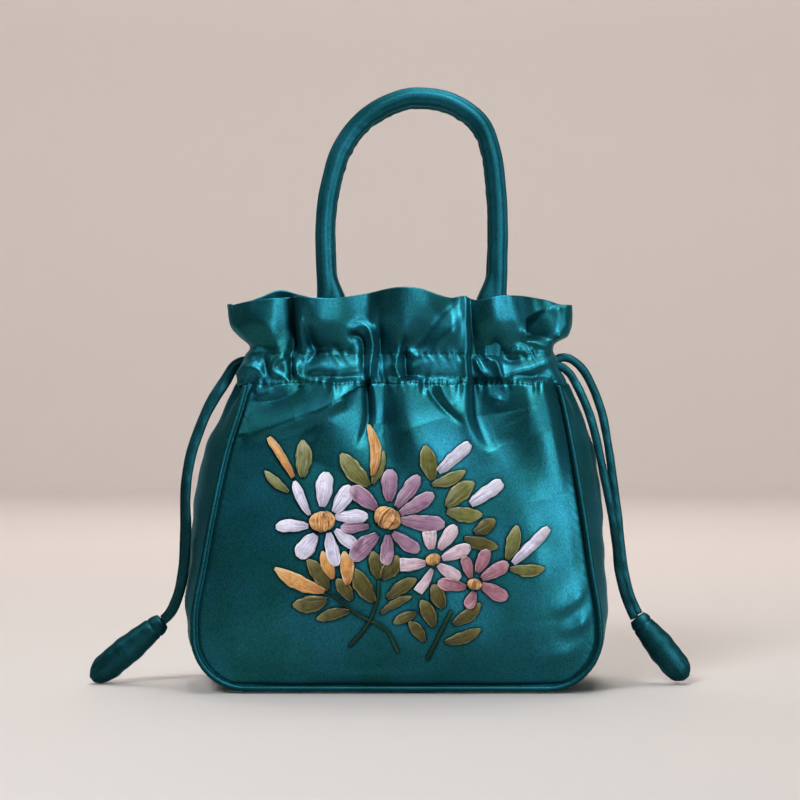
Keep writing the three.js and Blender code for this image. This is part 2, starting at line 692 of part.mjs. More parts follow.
function handle(towards) {
  const feet = [handleTable[0], handleTable[handleTable.length - 1]];
  const seats = feet.map(({ across }) => handleSeat(towards, across));
  const top = handleRadius + handleGap / 2;
  const points = handleTable.map(({ across, up }) => {
    const foot = across < 0 ? seats[0] : seats[1];
    return new THREE.Vector3(
      handleShift + across * handleSpan,
      towards * lerp(foot, top, THREE.MathUtils.smoothstep(up, 0, 1)),
      handleFootHeight + up * handleRise,
    );
  });
  return tube(new THREE.CatmullRomCurve3(points), handleRadius, 24, 8);
}

// A stuffed tip: a turned outline, flattened, laid from the strings to the table
function tip({ top, end, length }) {
  const outline = [new THREE.Vector2(0, 0)];
  for (const { at, radius } of tipTable) outline.push(new THREE.Vector2(tipRadius * radius, length * at));
  outline.push(new THREE.Vector2(0, length));
  const body = new THREE.LatheGeometry(outline, 10);
  body.scale(1, 1, tipFlatness);
  const start = new THREE.Vector3(...top);
  const way = new THREE.Vector3(...end).sub(start).normalize();
  body.applyQuaternion(new THREE.Quaternion().setFromUnitVectors(new THREE.Vector3(0, 1, 0), way));
  body.translate(start.x, start.y, start.z);
  return body;
}

// Front face's depth at a place, for what lies on it
function frontDepth(x, z) {
  const height = z / bodyHeight;
  const left = -seamEdge("left", height);
  const across = (x - left) / (seamEdge("right", height) - left);
  return faceDepth(frontFolds, across, height);
}

// One ribbon stitch from a base to a tip: blunt at the base, widest past the middle, puffed along its crest
const ribbonOutline = [
  { at: 0, width: 0.5 },
  { at: 0.58, width: 1 },
  { at: 1, width: 0.42 },
];
function ribbon(base, end, width, layer, grow) {
  const length = Math.hypot(end[0] - base[0], end[1] - base[1]);
  const along = [(end[0] - base[0]) / length, (end[1] - base[1]) / length];
  const low = ribbonGap + layer - (grow > 0 ? ribbonGap : 0);
  const high = ribbonGap + layer + ribbonThickness + grow * 4;
  const rows = ribbonOutline.length - 1;
  const point = (across, share, top) => {
    const row = Math.round(share * rows);
    const side = (2 * across - 1) * (width * 0.5 * ribbonOutline[row].width + grow);
    const way = lerp(-grow, length + grow, ribbonOutline[row].at);
    const x = base[0] + along[0] * way + along[1] * side;
    const z = base[1] + along[1] * way - along[0] * side;
    const crest = across === 0.5 && row > 0 && row < rows ? ribbonPuff : 0;
    return [x, -(frontDepth(x, z) + (top ? high + crest : low)), z];
  };
  return toSolid(shell(2, rows, (a, s) => point(a, s, true), (a, s) => point(a, s, false)));
}

// Knotted middle of a flower: a low dome over a disc that follows the face
function knot(centre, radius, grow) {
  const point = (across, share, top) => {
    const u = 2 * across - 1;
    const v = 2 * share - 1;
    const x = centre[0] + (radius + grow) * u * Math.sqrt(1 - (v * v) / 2);
    const z = centre[1] + (radius + grow) * v * Math.sqrt(1 - (u * u) / 2);
    const dome = 1 - 0.7 * Math.max(Math.abs(u), Math.abs(v)) ** 2;
    const low = grow > 0 ? 0 : ribbonGap - ribbonSink;
    const high = ribbonGap + knotRelief * dome + grow * 4;
    return [x, -(frontDepth(x, z) + (top ? high : low)), z];
  };
  return toSolid(shell(4, 4, (a, s) => point(a, s, true), (a, s) => point(a, s, false)));
}

function stem(points, grow) {
  const line = new THREE.SplineCurve(points.map(([x, z]) => new THREE.Vector2(x, z)));
  const rows = 4;
  const low = grow > 0 ? 0 : ribbonGap - ribbonSink;
  const high = ribbonGap + stemHeight + grow * 4;
  const point = (across, share, top) => {
    const place = line.getPoint(share);
    const way = line.getTangent(share);
    const side = (2 * across - 1) * (stemWidth / 2 + grow);
    const x = place.x + way.y * side;
    const z = place.y - way.x * side;
    return [x, -(frontDepth(x, z) + (top ? high : low)), z];
  };
  return toSolid(shell(1, rows, (a, s) => point(a, s, true), (a, s) => point(a, s, false)));
}

const onFace = (across, up) => [across * seamHalfWidth, up * bodyHeight];
const join = (solids) => solids.reduce((all, next) => all.add(next));

function byClock([x, z], turn, length) {
  return [x + Math.sin(radians(turn)) * length, z + Math.cos(radians(turn)) * length];
}

function flower({ across, up, reach, width, knot: knotShare, petals }, grow) {
  const centre = onFace(across, up);
  const radius = knotRadius * knotShare;
  const solids = petals.map((petal, index) => {
    const base = byClock(centre, petal.from, radius * 0.8);
    const end = byClock(centre, petal.to, petalLength * reach * petal.reach);
    return ribbon(base, end, petalWidth * width * petal.width, ribbonLayer * (index % 2), grow);
  });
  return join([knot(centre, radius, grow), ...solids]);
}

function sprig({ across, up, blades }, grow) {
  const root = onFace(across, up);
  return join(blades.map(({ turn, length, width }, index) => {
    const end = byClock(root, turn, leafLength * length);
    return ribbon(root, end, leafWidth * width, ribbonLayer * index, grow);
  }));
}

function spray({ stems, blades }, grow) {
  const lines = stems.map((points) => points.map(([across, up]) => onFace(across, up)));
  const curve = (points) => new THREE.SplineCurve(points.map(([x, z]) => new THREE.Vector2(x, z)));
  const curves = lines.map(curve);
  const leaves = blades.map(({ stem: number, at, turn, length, width }, index) => {
    const root = curves[number].getPoint(at).toArray();
    const end = byClock(root, turn, leafLength * length);
    return ribbon(root, end, leafWidth * width, ribbonLayer * ((index % 3) + 1), grow);
  });
  return join([...lines.map((points) => stem(points, grow)), ...leaves]);
}

// Materials and the assembly
function finish(colour) {
  return new THREE.MeshStandardMaterial({ ...satin, color: colour });
}

const group = new THREE.Group();
function addPiece(name, geometry, colour = satin.color) {
  const mesh = new THREE.Mesh(geometry, finish(colour));
  mesh.name = name;
  group.add(mesh);
}

addPiece("front_panel", face(frontFolds, 20, -1));
addPiece("back_panel", face(backFolds, 12, 1));
addPiece("gusset", gusset());
addPiece("collar", collar());
addPiece("piping_front", piping(-1));
addPiece("piping_rear", piping(1));
addPiece("handle_front", handle(-1));
addPiece("handle_rear", handle(1));
for (const [name, route] of Object.entries(stringRoutes)) {
  const path = new THREE.CatmullRomCurve3(route.map((point) => new THREE.Vector3(...point)));
  addPiece(name, tube(path, stringRadius, 16, stringSides));
}
for (const [name, place] of Object.entries(tipPlaces)) addPiece(name, tip(place));

// Embroidery: what was stitched later lies on top, and what lies under it is cut back by the clearance
const stitched = [
  ...flowers.map((row) => ({ row, make: flower })),
  ...sprigs.map((row) => ({ row, make: sprig })),
  ...sprays.map((row) => ({ row, make: spray })),
];
stitched.forEach(({ row, make }, number) => {
  let solid = make(row, 0);
  for (const above of stitched.slice(0, number)) solid = solid.subtract(above.make(above.row, gap));
  addPiece(row.name, toGeometry(solid), ribbonColours[row.colour]);
});

export default group;
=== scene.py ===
# %% [markdown]
# # An embroidered satin bucket bag
# The bag is made of shot satin over a soft padding: two faces, a gusset strip round them, a gathered
# collar with a drawstring, two padded handles, and ribbon flowers on the front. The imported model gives
# the frame that every piece has to sit in. Cloth could be draped by a simulation, but the folds here are
# few and each has its place, so the shapes are worked out by functions from a fold table, as a sculptor
# would lay them.

# %% Load the frame
import json
import math

import bpy
import numpy as np
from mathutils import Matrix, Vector

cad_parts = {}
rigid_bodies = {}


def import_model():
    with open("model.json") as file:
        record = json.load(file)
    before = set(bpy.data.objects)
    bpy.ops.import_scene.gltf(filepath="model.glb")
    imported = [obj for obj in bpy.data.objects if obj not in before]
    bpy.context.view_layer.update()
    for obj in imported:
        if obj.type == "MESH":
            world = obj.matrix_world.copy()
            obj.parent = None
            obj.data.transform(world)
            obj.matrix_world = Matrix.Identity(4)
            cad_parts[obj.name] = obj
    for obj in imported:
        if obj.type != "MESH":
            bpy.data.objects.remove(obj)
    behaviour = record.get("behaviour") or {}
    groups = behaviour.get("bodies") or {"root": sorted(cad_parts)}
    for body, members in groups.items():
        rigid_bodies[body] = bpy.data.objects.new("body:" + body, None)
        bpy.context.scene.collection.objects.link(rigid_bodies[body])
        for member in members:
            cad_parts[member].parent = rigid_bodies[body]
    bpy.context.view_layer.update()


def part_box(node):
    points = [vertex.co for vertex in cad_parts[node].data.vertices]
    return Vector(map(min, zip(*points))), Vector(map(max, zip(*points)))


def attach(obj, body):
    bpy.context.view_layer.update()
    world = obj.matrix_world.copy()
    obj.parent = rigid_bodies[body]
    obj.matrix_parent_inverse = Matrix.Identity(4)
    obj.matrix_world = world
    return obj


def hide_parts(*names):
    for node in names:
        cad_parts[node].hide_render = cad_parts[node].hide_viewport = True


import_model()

# %% [markdown]
# ## Camera
# The photograph was taken level with the upper third of the bag from a little over a metre away, with a
# long lens. A long lens far away keeps the sides of the bag nearly parallel, so the camera goes there
# too.

# %% Camera
CAMERA_PLACE = (0.0, -1.300, 0.161)
CAMERA_LENS = 103.1

camera_data = bpy.data.cameras.new("camera")
camera_data.lens = CAMERA_LENS
camera = bpy.data.objects.new("camera", camera_data)
camera.location = CAMERA_PLACE
camera.rotation_euler = (math.pi / 2, 0, 0)
bpy.context.scene.collection.objects.link(camera)
bpy.context.scene.camera = camera

# %% [markdown]
# ## Helpers for cloth
# Most pieces are grids of points: rows and columns like the threads of the cloth. A grid is easy to bend
# with numpy and turns into one closed mesh with an outer and an inner face. All shape numbers below are
# in millimetres, as a maker's pattern has them, and become metres when the mesh is made.

# %% Grid and mesh helpers
MM = 0.001


def piece_from(node, points, faces, uvs, material, smooth=None):
    """A sewn piece from points in millimetres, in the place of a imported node. Cut edges can stay crisp."""
    name = node + "-sewn"
    mesh = bpy.data.meshes.new(name)
    points = np.asarray(points, float)
    mesh.from_pydata([tuple(p) for p in (points * MM).tolist()], [], faces)
    layer = mesh.uv_layers.new(name="along")
    corners = np.zeros(len(mesh.loops), np.int32)
    mesh.loops.foreach_get("vertex_index", corners)
    layer.data.foreach_set("uv", np.asarray(uvs, np.float32)[corners].ravel())
    mesh.polygons.foreach_set("use_smooth", smooth if smooth else [True] * len(faces))
    mesh.materials.append(material)
    mesh.update()
    piece = bpy.data.objects.new(name, mesh)
    bpy.context.scene.collection.objects.link(piece)
    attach(piece, "root")
    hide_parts(node)
    return piece


def grid_quads(index):
    """Quads between neighbouring points of a grid of point numbers."""
    return np.stack([index[:-1, :-1], index[:-1, 1:], index[1:, 1:], index[1:, :-1]], -1).reshape(-1, 4)


# The order of a quad's corners that turns it to face the other way
TURNED = [0, 3, 2, 1]


def shell_faces(rows, columns, start=0, looped=False):
    """Faces of a closed shell: an outer and an inner grid of rows x columns points, and the rim between."""
    index = start + np.arange(2 * rows * columns).reshape(2, rows, columns)
    if looped:
        index = np.concatenate([index, index[:, :, :1]], axis=2)
    outer, inner = index
    quads = [
        grid_quads(outer),
        grid_quads(inner)[:, TURNED],
        np.stack([inner[0, :-1], inner[0, 1:], outer[0, 1:], outer[0, :-1]], -1),
        np.stack([outer[-1, :-1], outer[-1, 1:], inner[-1, 1:], inner[-1, :-1]], -1),
    ]
    if not looped:
        quads.append(np.stack([outer[:-1, 0], outer[1:, 0], inner[1:, 0], inner[:-1, 0]], -1))
        quads.append(np.stack([inner[:-1, -1], inner[1:, -1], outer[1:, -1], outer[:-1, -1]], -1))
    soft = 2 * (rows - 1) * (columns if looped else columns - 1)
    faces = np.concatenate([q.reshape(-1, 4) for q in quads]).tolist()
    return faces, [number < soft for number in range(len(faces))]


def shell_piece(node, outer, inner, material, looped=False):
    """A cloth piece from its outer and inner grids, with the threads' directions as its UV map."""
    rows, columns = outer.shape[:2]
    points = np.concatenate([outer.reshape(-1, 3), inner.reshape(-1, 3)])
    v, u = np.meshgrid(np.linspace(0, 1, rows), np.linspace(0, 1, columns), indexing="ij")
    uvs = np.tile(np.stack([u, v], -1).reshape(-1, 2), (2, 1))
    faces, smooth = shell_faces(rows, columns, looped=looped)
    return piece_from(node, points, faces, uvs, material, smooth)


def read(table, column, at):
    """Smooth value of one column of a table at places along its rows."""
    places = np.array([row["at"] for row in table])
    values = np.array([row[column] for row in table])
    steps = np.diff(values) / np.diff(places)
    slopes = np.concatenate([[steps[0]], (steps[1:] + steps[:-1]) / 2, [steps[-1]]])
    at = np.clip(at, places[0], places[-1])
    low = np.clip(np.searchsorted(places, at, side="right") - 1, 0, len(places) - 2)
    span = places[low + 1] - places[low]
    t = (at - places[low]) / span
    return (
        (2 * t**3 - 3 * t**2 + 1) * values[low]
        + (t**3 - 2 * t**2 + t) * span * slopes[low]
        + (3 * t**2 - 2 * t**3) * values[low + 1]
        + (t**3 - t**2) * span * slopes[low + 1]
    )


def smoothstep(low, high, value):
    t = np.clip((value - low) / (high - low), 0, 1)
    return t * t * (3 - 2 * t)


def spline(points, count):
    """Catmull-Rom curve through given points, evenly spaced along its length."""
    p = np.asarray(points, float)
    p = np.concatenate([[2 * p[0] - p[1]], p, [2 * p[-1] - p[-2]]])
    t = np.linspace(0, 1, 24, endpoint=False)[:, None]
    parts = []
    for a, b, c, d in zip(p[:-3], p[1:-2], p[2:-1], p[3:]):
        second, third = 2 * a - 5 * b + 4 * c - d, 3 * b - a - 3 * c + d
        parts.append(0.5 * (2 * b + (c - a) * t + second * t**2 + third * t**3))
    line = np.concatenate([*parts, p[-2:-1]])
    length = np.concatenate([[0], np.cumsum(np.linalg.norm(np.diff(line, axis=0), axis=1))])
    even = np.linspace(0, length[-1], count)
    return np.stack([np.interp(even, length, line[:, i]) for i in range(p.shape[1])], -1)


def wander(values, seed, wavelengths, size):
    """A smooth irregular wave: a few sines of given wavelengths with seeded phases."""
    rng = np.random.default_rng(seed)
    total = np.zeros_like(values, float)
    for wavelength in wavelengths:
        total += np.sin(2 * math.pi * (values / wavelength + rng.random()))
    return size * total / len(wavelengths)


# %% [markdown]
# ## Shot satin
# Satin shows long floating threads, so it shines in broad soft bands and turns dark where it curves away.
# A diffuse colour alone would look like felt. Here the shader is almost fully metallic, which gives
# coloured highlights. A node group shared by all satin adds the fine threads, the slight unevenness of
# the cloth, and painted shade where the mesh stores it, in the creases and round the stitches. The
# ribbons have a group of their own, with lengthwise streaks that are partly painted shade and sheen,
# painted shade towards the root, and painted highlights on the tips and rims.

# %% Node groups for satin and ribbon
THREADS_PER_METRE = 2600.0


def new_group(name, inputs, outputs):
    """An empty shader node group with named sockets, and its own input and output nodes."""
    group = bpy.data.node_groups.new(name, "ShaderNodeTree")
    for label, kind, value in inputs:
        socket = group.interface.new_socket(label, in_out="INPUT", socket_type=kind)
        socket.default_value = value
    for label, kind in outputs:
        group.interface.new_socket(label, in_out="OUTPUT", socket_type=kind)
    return group, group.nodes.new("NodeGroupInput"), group.nodes.new("NodeGroupOutput")


def add_node(tree, kind, links=None, **settings):
    """A node with its settings, its constant inputs and its linked inputs."""
    node = tree.nodes.new(kind)
    for key, value in settings.items():
        setattr(node, key, value)
    for key, value in (links or {}).items():
        if isinstance(value, bpy.types.NodeSocket):
            tree.links.new(value, node.inputs[key])
        else:
            node.inputs[key].default_value = value
    return node


def mix_colour(tree, factor, first, second, blend="MIX"):
    node = tree.nodes.new("ShaderNodeMix")
    node.data_type = "RGBA"
    node.blend_type = blend
    for key, value in ((0, factor), (6, first), (7, second)):
        if isinstance(value, bpy.types.NodeSocket):
            tree.links.new(value, node.inputs[key])
        else:
            node.inputs[key].default_value = value
    return node.outputs[2]


def scaled_place(tree, place, scale):
    node = add_node(tree, "ShaderNodeMapping", {"Vector": place})
    node.inputs["Scale"].default_value = scale
    return node.outputs["Vector"]


def make_satin_group():
    group, given, out = new_group(
        "satin cloth",
        [
            ("Colour", "NodeSocketColor", (0, 0.2, 0.2, 1)),
            ("Shade", "NodeSocketColor", (0, 0.1, 0.1, 1)),
            ("Thread Depth", "NodeSocketFloat", 0.3),
            ("Unevenness", "NodeSocketFloat", 0.3),
            ("Roughness", "NodeSocketFloat", 0.4),
        ],
        [("Colour", "NodeSocketColor"), ("Roughness", "NodeSocketFloat"), ("Normal", "NodeSocketVector")],
    )
    place = group.nodes.new("ShaderNodeTexCoord").outputs["Object"]
    cloudy = add_node(
        group, "ShaderNodeTexNoise", {"Vector": place, "Scale": 38.0, "Detail": 3.0, "Roughness": 0.55}
    )
    slubs_place = scaled_place(group, place, (1.0, 1.0, 0.12))
    slubs = add_node(group, "ShaderNodeTexNoise", {"Vector": slubs_place, "Scale": 900.0, "Detail": 2.0})
    threads_place = scaled_place(group, place, (1.0, 1.0, 0.35))
    threads = add_node(
        group, "ShaderNodeTexNoise", {"Vector": threads_place, "Scale": THREADS_PER_METRE, "Detail": 1.0}
    )
    patches = add_node(
        group, "ShaderNodeMapRange", {"Value": cloudy.outputs["Fac"], "From Min": 0.35, "From Max": 0.65}
    )
    cloth = mix_colour(group, patches.outputs["Result"], given.outputs["Shade"], given.outputs["Colour"])
    fleck = add_node(
        group, "ShaderNodeMapRange",
        {"Value": threads.outputs["Fac"], "From Min": 0.3, "From Max": 0.7, "To Min": 0.62, "To Max": 1.4},
    )
    flecked = mix_colour(group, 1.0, cloth, fleck.outputs["Result"], "MULTIPLY")
    # Painted shade: in creases and round the stitches the colour is mixed towards near black
    crease_shade_node = add_node(group, "ShaderNodeAttribute", attribute_name="pulled in")
    shaded = mix_colour(group, crease_shade_node.outputs["Fac"], flecked, (0.0, 0.008, 0.01, 1))
    rough_span = add_node(
        group, "ShaderNodeMath",
        {0: slubs.outputs["Fac"], 1: given.outputs["Unevenness"]}, operation="MULTIPLY",
    )
    rough = add_node(
        group, "ShaderNodeMath", {0: rough_span.outputs[0], 1: given.outputs["Roughness"]}, operation="ADD"
    )
    height = add_node(
        group, "ShaderNodeMath", {0: threads.outputs["Fac"], 1: slubs.outputs["Fac"]}, operation="ADD"
    )
    bump = add_node(
        group, "ShaderNodeBump",
        {"Height": height.outputs[0], "Strength": given.outputs["Thread Depth"], "Distance": 0.00012},
    )
    group.links.new(shaded, out.inputs["Colour"])
    group.links.new(rough.outputs[0], out.inputs["Roughness"])
    group.links.new(bump.outputs["Normal"], out.inputs["Normal"])
    return group


def make_ribbon_group():
    group, given, out = new_group(
        "silk ribbon",
        [
            ("Middle", "NodeSocketColor", (0.8, 0.8, 0.8, 1)),
            ("Painted Highlight", "NodeSocketColor", (0.9, 0.9, 0.9, 1)),
            ("Root Shade and Patches", "NodeSocketColor", (0.5, 0.5, 0.5, 1)),
            ("Grain", "NodeSocketFloat", 0.4),
        ],
        [("Colour", "NodeSocketColor"), ("Roughness", "NodeSocketFloat"), ("Normal", "NodeSocketVector")],
    )
    uv = group.nodes.new("ShaderNodeUVMap").outputs["UV"]
    parts = add_node(group, "ShaderNodeSeparateXYZ", {"Vector": uv})
    place = group.nodes.new("ShaderNodeTexCoord").outputs["Object"]
    streak_place = scaled_place(group, uv, (10.0, 1.3, 1.0))
    streaks = add_node(group, "ShaderNodeTexNoise", {"Vector": streak_place, "Scale": 1.0, "Detail": 5.0})
    cloudy = add_node(group, "ShaderNodeTexNoise", {"Vector": place, "Scale": 330.0, "Detail": 4.0})
    from_middle = add_node(group, "ShaderNodeMath", {0: parts.outputs["X"], 1: 0.5}, operation="SUBTRACT")
    aside = add_node(group, "ShaderNodeMath", {0: from_middle.outputs[0]}, operation="ABSOLUTE")
    # Painted highlight along both rims of the ribbon, broken up by the cloudy noise
    rim = add_node(
        group, "ShaderNodeMapRange", {"Value": aside.outputs[0], "From Min": 0.38, "From Max": 0.47}
    )
    broken = add_node(
        group, "ShaderNodeMath", {0: streaks.outputs["Fac"], 1: parts.outputs["Y"]}, operation="ADD"
    )
    # Painted shade towards the root of each stitch, its edge broken up by the streaks
    root = add_node(
        group, "ShaderNodeMapRange",
        {"Value": broken.outputs[0], "From Min": 0.42, "From Max": 0.92, "To Min": 0.9, "To Max": 0.0},
    )
    soft = add_node(
        group, "ShaderNodeMapRange", {"Value": cloudy.outputs["Fac"], "From Min": 0.35, "From Max": 0.7}
    )
    patch = add_node(
        group, "ShaderNodeMapRange",
        {"Value": cloudy.outputs["Fac"], "From Min": 0.46, "From Max": 0.72, "To Max": 0.75},
    )
    rim_highlight_mask = add_node(
        group, "ShaderNodeMath", {0: rim.outputs["Result"], 1: soft.outputs["Result"]}, operation="MULTIPLY"
    )
    # Painted highlight towards the tip of each stitch
    tip = add_node(
        group, "ShaderNodeMapRange",
        {"Value": parts.outputs["Y"], "From Min": 0.72, "From Max": 1.0, "To Max": 0.45},
    )
    patched = mix_colour(group, patch.outputs["Result"], given.outputs["Middle"], given.outputs["Root Shade and Patches"])
    root_shaded = mix_colour(group, root.outputs["Result"], patched, given.outputs["Root Shade and Patches"])
    tip_highlighted = mix_colour(group, tip.outputs["Result"], root_shaded, given.outputs["Painted Highlight"])
    rim_highlighted = mix_colour(group, rim_highlight_mask.outputs[0], tip_highlighted, given.outputs["Painted Highlight"])
    # Lengthwise streaks: partly the silk's own uneven tone, partly painted shade and sheen along the bumps
    shade = add_node(
        group, "ShaderNodeMapRange",
        {"Value": streaks.outputs["Fac"], "From Min": 0.3, "From Max": 0.7, "To Min": 0.36, "To Max": 1.42},
    )
    streak_tone_and_shade = mix_colour(group, 1.0, rim_highlighted, shade.outputs["Result"], "MULTIPLY")
    clouded = mix_colour(group, soft.outputs["Result"], streak_tone_and_shade, rim_highlighted)
    rough = add_node(
        group, "ShaderNodeMapRange", {"Value": streaks.outputs["Fac"], "To Min": 0.3, "To Max": 0.55}
    )
    bump = add_node(
        group, "ShaderNodeBump",
        {"Height": streaks.outputs["Fac"], "Strength": given.outputs["Grain"], "Distance": 0.0006},
    )
    group.links.new(clouded, out.inputs["Colour"])
    group.links.new(rough.outputs["Result"], out.inputs["Roughness"])
    group.links.new(bump.outputs["Normal"], out.inputs["Normal"])
    return group


satin_group = make_satin_group()
ribbon_group = make_ribbon_group()


# %% Materials
def new_material(name, group, values, constants):
    """A material whose Principled shader takes colour, roughness and normal from a group."""
    material = bpy.data.materials.new(name)
    material.use_nodes = True
    tree = material.node_tree
    shader = tree.nodes["Principled BSDF"]
    cloth = tree.nodes.new("ShaderNodeGroup")
    cloth.node_tree = group
    for key, value in values.items():
        cloth.inputs[key].default_value = value
    tree.links.new(cloth.outputs["Colour"], shader.inputs["Base Color"])
    tree.links.new(cloth.outputs["Roughness"], shader.inputs["Roughness"])
    tree.links.new(cloth.outputs["Normal"], shader.inputs["Normal"])
    for key, value in constants.items():
        shader.inputs[key].default_value = value
    return material


SATIN_LOOK = {
    "Metallic": 0.94,
    "Specular IOR Level": 0.5,
    "Specular Tint": (0.6, 0.92, 1.0, 1),
    "Sheen Weight": 0.03,
    "Sheen Tint": (0.25, 0.75, 0.85, 1),
    "Sheen Roughness": 0.4,
    "Anisotropic": 0.35,
}


def satin(name, colour, shade, roughness, depth=0.4, unevenness=0.08):
    values = {
        "Colour": (*colour, 1), "Shade": (*shade, 1), "Thread Depth": depth,
        "Unevenness": unevenness, "Roughness": roughness,
    }
    return new_material(name, satin_group, values, SATIN_LOOK)


# edge is a painted highlight for rims and tips; root is painted shade at the root and the patches' colour
def ribbon_silk(name, middle, edge, root, grain=0.5, sheen=0.3, gloss=0.6):
    values = {"Middle": (*middle, 1), "Painted Highlight": (*edge, 1), "Root Shade and Patches": (*root, 1), "Grain": grain}
    constants = {"Sheen Weight": sheen, "Sheen Roughness": 0.35, "Specular IOR Level": gloss}
    return new_material(name, ribbon_group, values, constants)


satin_body = satin("teal satin", (0.01, 0.09, 0.117), (0.007, 0.073, 0.074), roughness=0.4)
# Darker copies of the teal satin: painted shade on the piping, handles, drawstrings and tips
satin_piping_painted_dark = satin("piping satin in painted shade", (0.005, 0.048, 0.058), (0.003, 0.036, 0.04), roughness=0.44)
satin_handle_painted_dark = satin("handle satin in painted shade", (0.008, 0.07, 0.088), (0.004, 0.052, 0.06), roughness=0.5)
satin_string_painted_dark = satin("drawstring satin in painted shade", (0.006, 0.048, 0.056), (0.004, 0.036, 0.04), roughness=0.46)
# Each silk: its own colour, a painted highlight for rims and tips, and painted shade for the root
silk = {
    "white": ribbon_silk("white silk", (0.76, 0.71, 0.87), (1.0, 0.98, 1.0), (0.38, 0.33, 0.48)),
    "mauve": ribbon_silk("mauve silk", (0.35, 0.18, 0.29), (0.76, 0.6, 0.73), (0.15, 0.06, 0.12)),
    "blush": ribbon_silk("blush silk", (0.74, 0.56, 0.63), (0.98, 0.9, 0.94), (0.42, 0.23, 0.32)),
    "rose": ribbon_silk("rose silk", (0.44, 0.18, 0.24), (0.78, 0.52, 0.6), (0.2, 0.06, 0.09)),
    "gold": ribbon_silk("gold silk", (0.72, 0.34, 0.09), (1.0, 0.78, 0.42), (0.36, 0.12, 0.03)),
    "knot": ribbon_silk("knotted gold silk", (0.88, 0.46, 0.16), (1.0, 0.78, 0.42), (0.2, 0.06, 0.015)),
    "olive": ribbon_silk(
        "light olive silk", (0.18, 0.18, 0.04), (0.62, 0.6, 0.3), (0.05, 0.055, 0.01), sheen=0.06, gloss=0.45
    ),
    "stem": ribbon_silk(
        "stem thread", (0.012, 0.045, 0.02), (0.05, 0.12, 0.05), (0.006, 0.018, 0.01), sheen=0.0, gloss=0.2
    ),
    "leaf": ribbon_silk(
        "dark olive silk", (0.1, 0.083, 0.014), (0.44, 0.4, 0.17), (0.02, 0.02, 0.004), sheen=0.04, gloss=0.4
    ),
}
print("materials:", len(bpy.data.materials))

# %% [markdown]
# ## Drawstrings
# Each side has two flat satin tubes that leave the casing, fall over the gusset and end together in a
# stuffed tip. They are made first, because their routes decide how much room the bag takes. A bevelled
# curve would be round, so each string is a tube with its own flat section, turned so that its wide side
# faces the front.

# %% Drawstring routes and tubes
STRING_WIDTH = 4.8
STRING_THICKNESS = 2.3
TUBE_SIDES = 28

string_routes = {
    "string_left_front": [
        (-83.5, -2.5, 181.2), (-89, -2.5, 181.8), (-93.8, -2.7, 178.6), (-97.8, -3.8, 171.8),
        (-103.2, -6.2, 163.2), (-108, -8, 154.6), (-112.4, -10.2, 144), (-116, -12.8, 133),
        (-118.6, -15.4, 120), (-119.6, -17.2, 106), (-119.2, -18.2, 92), (-119.4, -18.2, 78),
        (-120.8, -16.6, 64.5), (-123.4, -13, 53.2), (-127, -8.8, 44.2), (-130.4, -6.2, 39.2),
        (-133.9, -4.7, 35.9),
    ],
    "string_left_rear": [
        (-83.5, 2.5, 182.4), (-89, 2.5, 183.4), (-94.6, 2.2, 180.6), (-99.2, 1.2, 173.6),
        (-104.8, -0.8, 164.8), (-109.8, -2.8, 155.4), (-114, -5.2, 144.6), (-117.6, -8, 133.4),
        (-120.2, -10.8, 120.2), (-121.2, -12.8, 106.2), (-121, -13.8, 92), (-121.4, -13.6, 78),
        (-122.6, -12, 64.8), (-124.8, -8.6, 53.8), (-128.2, -4.2, 45.2), (-131.2, -1.4, 40.2),
        (-134.2, 0, 36.8),
    ],
    "string_right_front": [
        (83.5, -2.5, 179.6), (89.5, -2.5, 180.4), (95.2, -2.7, 176.9), (98.8, -4.4, 171.4),
        (102.6, -8, 163.4), (107, -11, 151.8), (110.4, -14.2, 138), (113.6, -16.4, 122),
        (116.8, -16.6, 106.6), (119.8, -14.6, 91), (121.8, -11.6, 77.6), (123.4, -8.4, 64.5),
        (126.6, -5.4, 51.8), (129.4, -3.4, 44.6), (132.8, -2.5, 37.5),
    ],
    "string_right_rear": [
        (83.5, 2.5, 182.8), (88.5, 2.5, 184), (93.6, 2.6, 185.2), (99, 2.8, 183), (105, 3, 176.9),
        (110.2, 3, 166.7), (113.6, 3, 157.6), (115.8, 3, 149.7), (118.8, 2.8, 132.6),
        (121, 2.6, 116.7), (122.8, 2.4, 103.7), (124.4, 2.2, 90.6), (125.6, 2.2, 77.6),
        (127.4, 2.2, 64.5), (130.8, 2.3, 50.6), (133.2, 2.4, 44.4), (135.6, 2.5, 39.4),
    ],
}


def section_frames(line, wide):
    """Along a line: its direction, the wide way across it and the thin way, for a flat section."""
    way = np.gradient(line, axis=0)
    way /= np.linalg.norm(way, axis=1)[:, None]
    thin = np.asarray(wide, float) - way * (way @ np.asarray(wide, float))[:, None]
    thin /= np.linalg.norm(thin, axis=1)[:, None]
    return way, np.cross(way, thin), thin


def tube_points(line, section, facing=(0, -1, 0), sides=TUBE_SIDES):
    """Points of a tube: section(angle, share) gives the offsets along the wide and the thin way."""
    _, across, thin = section_frames(line, facing)
    angles = np.linspace(0, 2 * math.pi, sides, endpoint=False)
    share, angle = np.meshgrid(np.linspace(0, 1, len(line)), angles, indexing="ij")
    a, b = section(angle, share)
    return line[:, None] + across[:, None] * a[..., None] + thin[:, None] * b[..., None]


